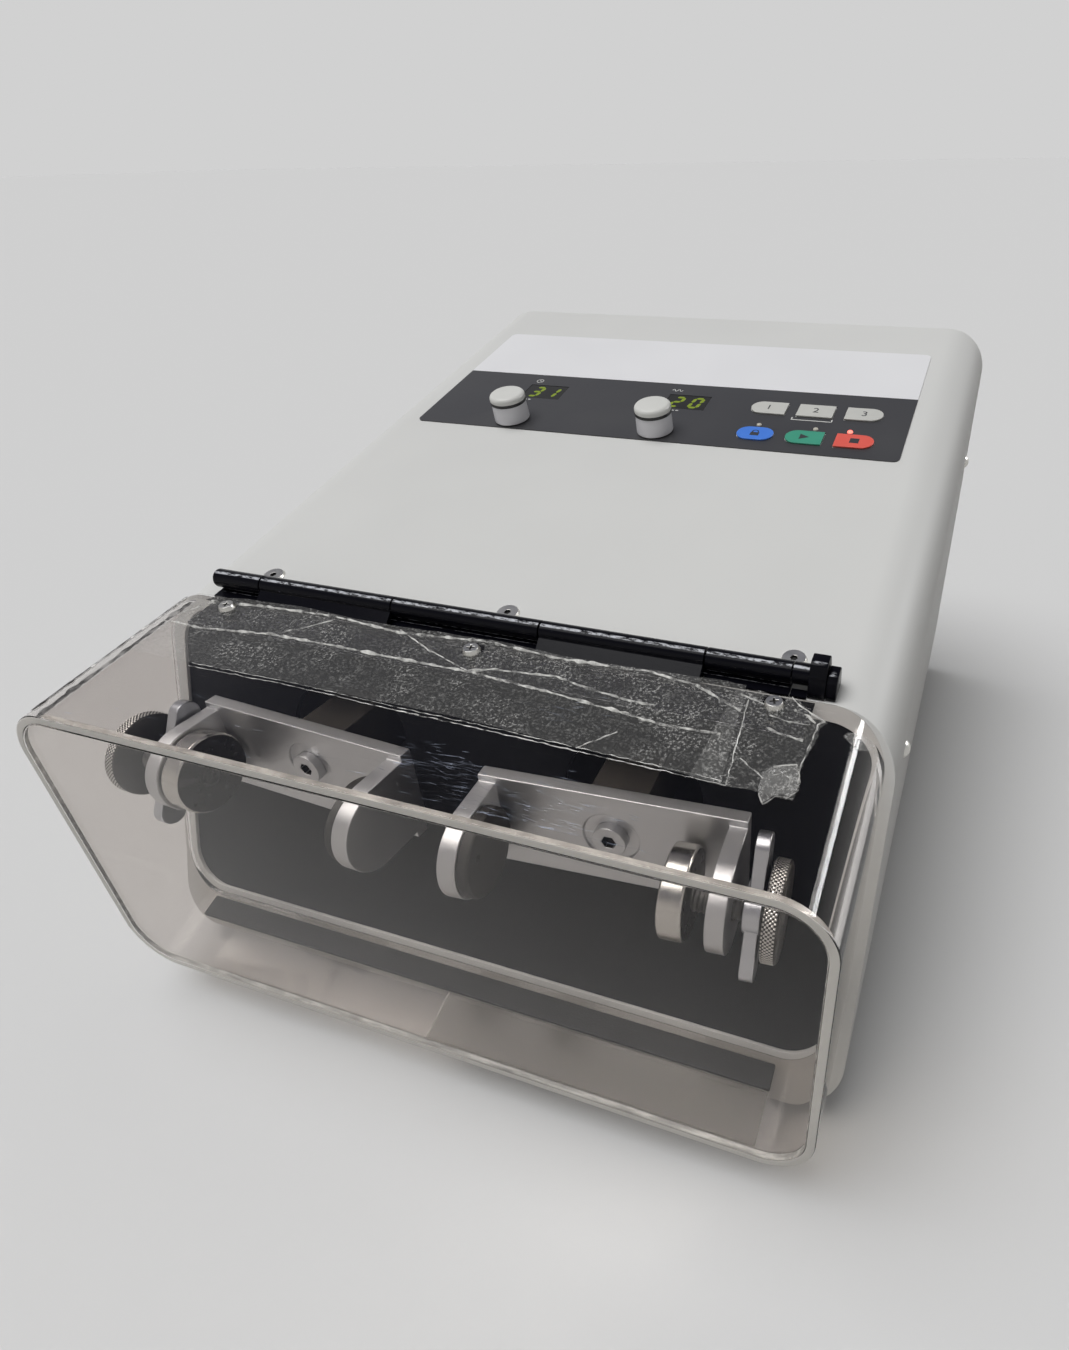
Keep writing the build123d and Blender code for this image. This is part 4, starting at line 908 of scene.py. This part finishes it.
def in_shade(flat, axes):
    """True on the wheel's flat faces inside its rim, and in the valleys of its knurl."""
    lean, inside = abs(flat.normal.dot(axes[1])), off_axis(flat, axes)
    if lean < 0.9:
        return inside < knob_radius - 0.64 * knurl_depth
    return lean > 0.99 and inside < knob_radius - 1.6


wheel_starts = {"left": 78.75, "right": 70.75}
rod_long, thread_long = 34.85, 28.9
neck_radius, tail_radius, tail_chamfer, bore_radius = 4.0, 4.5, 0.6, 4.6
rim, rim_drop = 0.9, 0.45
knurl_count = round(math.tau * knob_radius / knurl_pitch)
knurl_pitch = math.tau * knob_radius / knurl_count
for tag, start in wheel_starts.items():
    axes = clamp_axes(tag)
    stop = start + knob_thick
    rod = [(start - rod_long, neck_radius), (start - thread_long - 0.05, neck_radius)]
    rod += [(at, thread_radius) for at in spread(start - thread_long, start - 0.05, 170)]
    rod += [(start, tail_radius), (stop - tail_chamfer, tail_radius), (stop, tail_radius - tail_chamfer)]
    body = "spindle_" + tag
    node = ["clamp_spindle_" + tag]
    turned("threaded_spindle_" + tag, axes, rod, 40, threaded, greased, body, node, 60)
    face_radius, drop_radius = knob_radius - rim - 0.4, knob_radius - rim_drop
    wheel = [(start, bore_radius), (start, face_radius), (start + rim * 0.6, drop_radius)]
    wheel += [(at, knob_radius) for at in spread(start + rim, stop - rim, 16)]
    wheel += [(stop - rim * 0.6, drop_radius), (stop, face_radius), (stop, bore_radius)]
    node = ["spindle_knob_" + tag]
    sides = knurl_count * 4
    name = "knurled_wheel_" + tag
    made = turned(name, axes, wheel, sides, diamonds, knurled, body, node, 50, closed=True)
    # Painted shade in the knurl's valleys, and painted reflection on the flat faces.
    faced(made, painted_shade_and_reflection, lambda flat: in_shade(flat, axes))

# Lock levers: two armed wings, cast in zinc, which are turned by hand to jam the spindle. Tumbling
# left them softly bright.
tumbled = grained("tumbled_zinc", "#c6c9ce", "#d6d8dc", 8, 0.32, 0.03, 0.9, 0.005, Metallic=1.0)
for tag in ("left", "right"):
    eased("lock_lever_" + tag, tumbled, 0.45, 3)

# Drive: ground shafts that shine, rods and a frame plate machined from steel, which are duller, and
# a motor in dark satin enamel, screwed under the plate. The housing hides all of it.
ground_shaft = grained("ground_steel", "#a5a6a8", "#bcbdbe", 6, 0.22, 0.05, 0.5, 0.004, Metallic=1.0)
machined = grained("machined_steel", "#808285", "#98999b", 8, 0.4, 0.06, 0.6, 0.01, Metallic=1.0)
motor_enamel = grained("motor_enamel", "#2d333b", "#363d46", 30, 0.38, 0.05, 1.1, 0.02)
dressed(ground_shaft, "pivot_shafts", "eccentric_shaft", "frame_columns")
dressed(machined, "connecting_rod_left", "connecting_rod_right", "drive_frame")
dressed(motor_enamel, "motor_body")

# Control label: matt polyester film printed white at the back and charcoal round the controls,
# stuck to the sloped top. Windows show two seven segment number displays and three lamps.
print_line = 262.9
label_film, place = blank("printed_polyester_film")
up = add(label_film, "VectorMath", {0: place, 1: up_slope}, operation="DOT_PRODUCT").outputs["Value"]
line_at = (edge.dot(up_slope) + print_line) * MM
white = add(label_film, "Math", {0: up, 1: line_at}, operation="GREATER_THAN")
print_grain = add(label_film, "TexNoise", {"Vector": place, "Scale": 1600.0, "Detail": 2.0})
scuff = add(label_film, "TexNoise", {"Vector": place, "Scale": 22.0, "Detail": 4.0})
inks = add(label_film, "Mix", {0: white, 6: linear("#38383a"), 7: linear("#e5e5e7")}, data_type="RGBA")
scuffed = {"From Min": 0.35, "From Max": 0.7, "To Min": 0.34, "To Max": 0.5}
rubbed = add(label_film, "MapRange", {"Value": scuff, **scuffed})
pores = add(label_film, "Bump", {"Height": print_grain, "Distance": 0.008 * MM})
surfaced(label_film, {"Base Color": inks.outputs[2], "Roughness": rubbed, "Normal": pores}, IOR=1.55)
dressed(label_film, "control_label")

# Smoked windows are dark and glossy, so that only lit segments show in them.
smoked = grained("smoked_display_window", "#24241f", "#2c2b26", 8, 0.12, 0.03, 1.5, 0.002)
dressed(smoked, "displays")


def glowing(name, colour, strength, base):
    """A lit plastic lens: its own colour plus light of the lamp's colour from within."""
    material, place = blank(name)
    cells = add(material, "TexNoise", {"Vector": place, "Scale": 900.0})
    glow = add(material, "MapRange", {"Value": cells, "To Min": strength * 0.85, "To Max": strength * 1.15})
    lens = {"Base Color": linear(base), "Roughness": 0.3}
    return surfaced(material, lens, Emission_Color=linear(colour), Emission_Strength=glow)


segment_glow = glowing("lit_green_segment", "#a9c41c", 0.4, "#39410f")
digit_high = 14.2
digit_wide = 7.6
stroke = 2.2
bar_gap = 0.25
slip = math.tan(math.radians(9))
segment_bars = {
    "a": (0, 1, 1, 1), "g": (0, 0.5, 1, 0.5), "d": (0, 0, 1, 0),
    "f": (0, 0.5, 0, 1), "b": (1, 0.5, 1, 1), "e": (0, 0, 0, 0.5), "c": (1, 0, 1, 0.5),
}
digits = {"0": "abcdef", "1": "bc", "2": "abged", "3": "abgcd"}


def seven_segments(figure, x_mid, v_mid):
    """The outlines of a slanted seven segment figure, each bar with pointed ends and a gap."""
    outlines = []
    for key in digits[figure]:
        x0, v0, x1, v1 = segment_bars[key]
        wide, high = digit_wide - stroke, digit_high - stroke
        start = Vector(((x0 - 0.5) * wide, (v0 - 0.5) * high))
        stop = Vector(((x1 - 0.5) * wide, (v1 - 0.5) * high))
        way = (stop - start).normalized()
        beside = Vector((-way.y, way.x)) * stroke / 2
        start, stop = start + way * bar_gap, stop - way * bar_gap
        tip = way * stroke / 2
        near, far = start + tip, stop - tip
        bar = [start, near + beside, far + beside, stop, far - beside, near - beside]
        outlines.append([(x_mid + p.x + p.y * slip, v_mid + p.y) for p in bar])
    return outlines


display_v = 238.8
bars = []
for figure, x in (("3", -91.0), ("1", -79.5), ("2", 8.0), ("0", 20.8)):
    bars += seven_segments(figure, x, display_v)
plates("lit_segments", bars, (0.35, 0.46), on_top, segment_glow, "housing")

# Indicator lamps: small round lenses cast in epoxy, standing through the film. Two are unlit and
# grey, and the one over the stop key is lit red from within.
unlit_lens = grained("clear_epoxy_lens", "#b9b5a8", "#c8c4b8", 2, 0.25, 0.05, 0.8, 0.003)
red_glow = glowing("lit_red_lens", "#ff6a5c", 3.0, "#a01812")
lamp_at = [(67.5, 217.2), (101.5, 217.2), (121.5, 217.2)]


def plain_round(along, turn, radius):
    """Leaves a turned shape as it is."""
    return radius


lens_profile = [(-10.0, 1.6), (0.5, 1.6), (0.95, 1.5), (1.3, 1.15), (1.45, 0.6)]
for index, (x, v) in enumerate(lamp_at):
    name = "indicator_lens_%d" % (index + 1)
    axes = (on_top(x, v, 0), off_slope, Vector((1, 0, 0)), up_slope)
    finish = red_glow if index == 2 else unlit_lens
    node = ["indicator_leds"] if index == 0 else []
    turned(name, axes, lens_profile, 24, plain_round, finish, "housing", node)

# Printed signs: plain marks for time, shaking speed and the memory row, screen printed on the film
# in white ink, which dries matt.
white_ink = grained("white_screen_ink", "#c9c9c6", "#d8d8d5", 3, 0.5, 0.04, 0.7, 0.004)


def arc(centre, radius, start, stop, count=18):
    """Points of an arc in degrees."""
    turns = [math.radians(start + (stop - start) * k / count) for k in range(count + 1)]
    return [(centre[0] + radius * math.cos(t), centre[1] + radius * math.sin(t)) for t in turns]


def drawn(points, width):
    """The outlines of a line of even width through points, one for each stretch."""
    outlines = []
    for (x0, v0), (x1, v1) in zip(points, points[1:]):
        way = Vector((x1 - x0, v1 - v0))
        if way.length < 1e-6:
            continue
        way.normalize()
        beside = Vector((-way.y, way.x)) * width / 2
        reach = way * width * 0.2
        a, b = Vector((x0, v0)) - reach, Vector((x1, v1)) + reach
        outlines.append([a + beside, b + beside, b - beside, a - beside])
    return outlines


clock_x, sign_v, dash_v, bracket_v = -95.7, 253.7, 227.2, 227.0
marks = drawn(arc((clock_x, sign_v), 2.3, 90, 450), 0.5)
marks += drawn([(clock_x, sign_v + 1.7), (clock_x, sign_v), (clock_x + 1.3, sign_v - 0.7)], 0.45)
marks += drawn([(7.0 * k / 16, sign_v + 1.4 * math.sin(math.tau * k / 8)) for k in range(17)], 0.5)
for x in (-92.0, 11.0):
    for left, right in ((-4.2, -1.2), (0.2, 1.6)):
        marks += drawn([(x + left, dash_v), (x + right, dash_v)], 0.9)
bracket = [(84.5, bracket_v + 2.6), (84.5, bracket_v), (108.5, bracket_v), (108.5, bracket_v + 2.6)]
marks += drawn(bracket, 0.8)
plates("printed_signs", marks, (0.58, 0.66), on_top, white_ink, "housing")

# Setting knobs: a grey barrel, a black friction ring and an off-white domed cap, moulded in ABS and
# pressed together. All three have the satin face of the mould.
knob_plastic = grained("moulded_grey_abs", "#d0cfd3", "#d9d8dc", 12, 0.38, 0.04, 0.8, 0.012)
ring_plastic = grained("moulded_black_abs", "#131314", "#1c1c1d", 9, 0.34, 0.05, 0.8, 0.01)
cap_plastic = grained("moulded_white_abs", "#d0d0cc", "#d9d9d5", 14, 0.42, 0.04, 0.9, 0.008)
for tag in ("left", "right"):
    eased("knob_body_" + tag, knob_plastic, 0.3)
    eased("knob_ring_" + tag, ring_plastic, 0.25)
    eased("knob_cap_" + tag, cap_plastic, 0.25)

# Keys: low moulded caps with a satin face, three grey ones with numbers and blue, green and red
# ones with plain signs: a padlock, a triangle to start and a square to stop.
grey_tones = ("#c0c0bb", "#c9c9c4", "key_grey")
# Each key: its middle, across and up the slope, its two tones, its slot, and which ends are round.
keys = {
    "memory_key_1": (68.0, 238.3, *grey_tones, (-1,)),
    "memory_key_2": (97.0, 238.3, *grey_tones, ()),
    "memory_key_3": (126.0, 238.3, *grey_tones, (1,)),
    "lock_key": (68.0, 206.0, "#3a78da", "#427fe0", "key_blue", (-1, 1)),
    "start_key": (97.0, 206.0, "#329478", "#3a9b80", "key_green", (-1,)),
    "stop_key": (126.0, 206.0, "#e05648", "#e66052", "key_red", (1,)),
}
for key, (x, v, low, high, slot, ends) in keys.items():
    eased(key, grained("satin_" + key, low, high, 8, 0.42, 0.04, 0.8, 0.006), 0.25)

# The film is cut close round each key, so its printed charcoal fills the rounded keys' corners.
key_long, key_wide, key_slack, curve_slack = 22.0, 14.5, 0.4, 0.3
corners = []
for x, v, *tones, ends in keys.values():
    for end in ends:
        centre = (x + end * (key_long - key_wide) / 2, v)
        tip = x + end * (key_long / 2 + key_slack)
        for half in (-1, 1):
            side_v = v + half * (key_wide / 2 + key_slack)
            curve_in = arc(centre, key_wide / 2 + curve_slack, 90 * half, 90 * half * (1 - end), 8)
            corners.append([(tip, v), (tip, side_v), (centre[0], side_v)] + curve_in)
plates("film_corners", corners, (0.05, 0.58), on_top, label_film, "housing")

# The keys are printed in a near black matt ink.
key_ink = grained("dark_screen_ink", "#2a2c30", "#33353a", 3, 0.5, 0.04, 0.7, 0.004)
sign_band = (1.48, 1.56)


def figure(name, text, x, v, size, body):
    """A number printed on a key, in a plain sans face."""
    curve = bpy.data.curves.new(name, "FONT")
    curve.body = text
    curve.size = size * MM
    curve.align_x = curve.align_y = "CENTER"
    curve.extrude = 0.04 * MM
    text_object = linked(name + "_text", curve)
    bpy.context.view_layer.update()
    flattened = text_object.evaluated_get(bpy.context.evaluated_depsgraph_get())
    drawn_mesh = bpy.data.meshes.new_from_object(flattened)
    bpy.data.objects.remove(text_object)
    turn = Matrix((Vector((1, 0, 0)), up_slope, off_slope)).transposed().to_4x4()
    drawn_mesh.transform(Matrix.Translation(on_top(x, v, sign_band[0] + 0.04) * MM) @ turn)
    form = bmesh.new()
    form.from_mesh(drawn_mesh)
    bpy.data.meshes.remove(drawn_mesh)
    bmesh.ops.remove_doubles(form, verts=form.verts, dist=0.001 * MM)
    return placed(name, form, key_ink, body)


for number in (1, 2, 3):
    key = "memory_key_%d" % number
    figure("number_%d" % number, str(number), *keys[key][:2], 8.0, key)

signs = {
    "lock_key": ("padlock_sign", oblong(-2.6, -3.0, 2.6, 0.6)),
    "start_key": ("start_sign", [(-2.4, -3.0), (3.0, 0), (-2.4, 3.0)]),
    "stop_key": ("stop_sign", oblong(-2.6, -2.6, 2.6, 2.6)),
}
shackle = [(-1.7, 0.5)] + arc((0, 1.4), 1.7, 180, 0, 12) + [(1.7, 0.5)]
for key, (name, outline) in signs.items():
    x, v = keys[key][:2]
    outlines = [[(x + dx, v + dv) for dx, dv in outline]]
    if key == "lock_key":
        outlines += drawn([(x + dx, v + dv) for dx, dv in shackle], 0.7)
    plates(name, outlines, sign_band, on_top, key_ink, key)

# Electronics: a glass epoxy board, glossy with green solder resist, on standoffs under the keys, and
# encoders in moulded black nylon under the knobs. The housing hides both.
solder_resist = grained("solder_resist_board", "#1d5a34", "#256a3f", 10, 0.35, 0.05, 1.0, 0.01)
part_black = grained("moulded_black_nylon", "#1b1b1c", "#242425", 10, 0.45, 0.05, 0.8, 0.02)
dressed(solder_resist, "control_board")
dressed(part_black, "encoders")

# Rear: mains inlet and switch in glass filled nylon, which moulds dull black, fixed in the rear
# panel, and inside it the supply in its case of zinc plated steel.
eased("mains_inlet", part_black, 0.4)
eased("switch_housing", part_black, 0.4)
eased("power_rocker", part_black, 0.5)
dressed(galvanised, "power_supply")
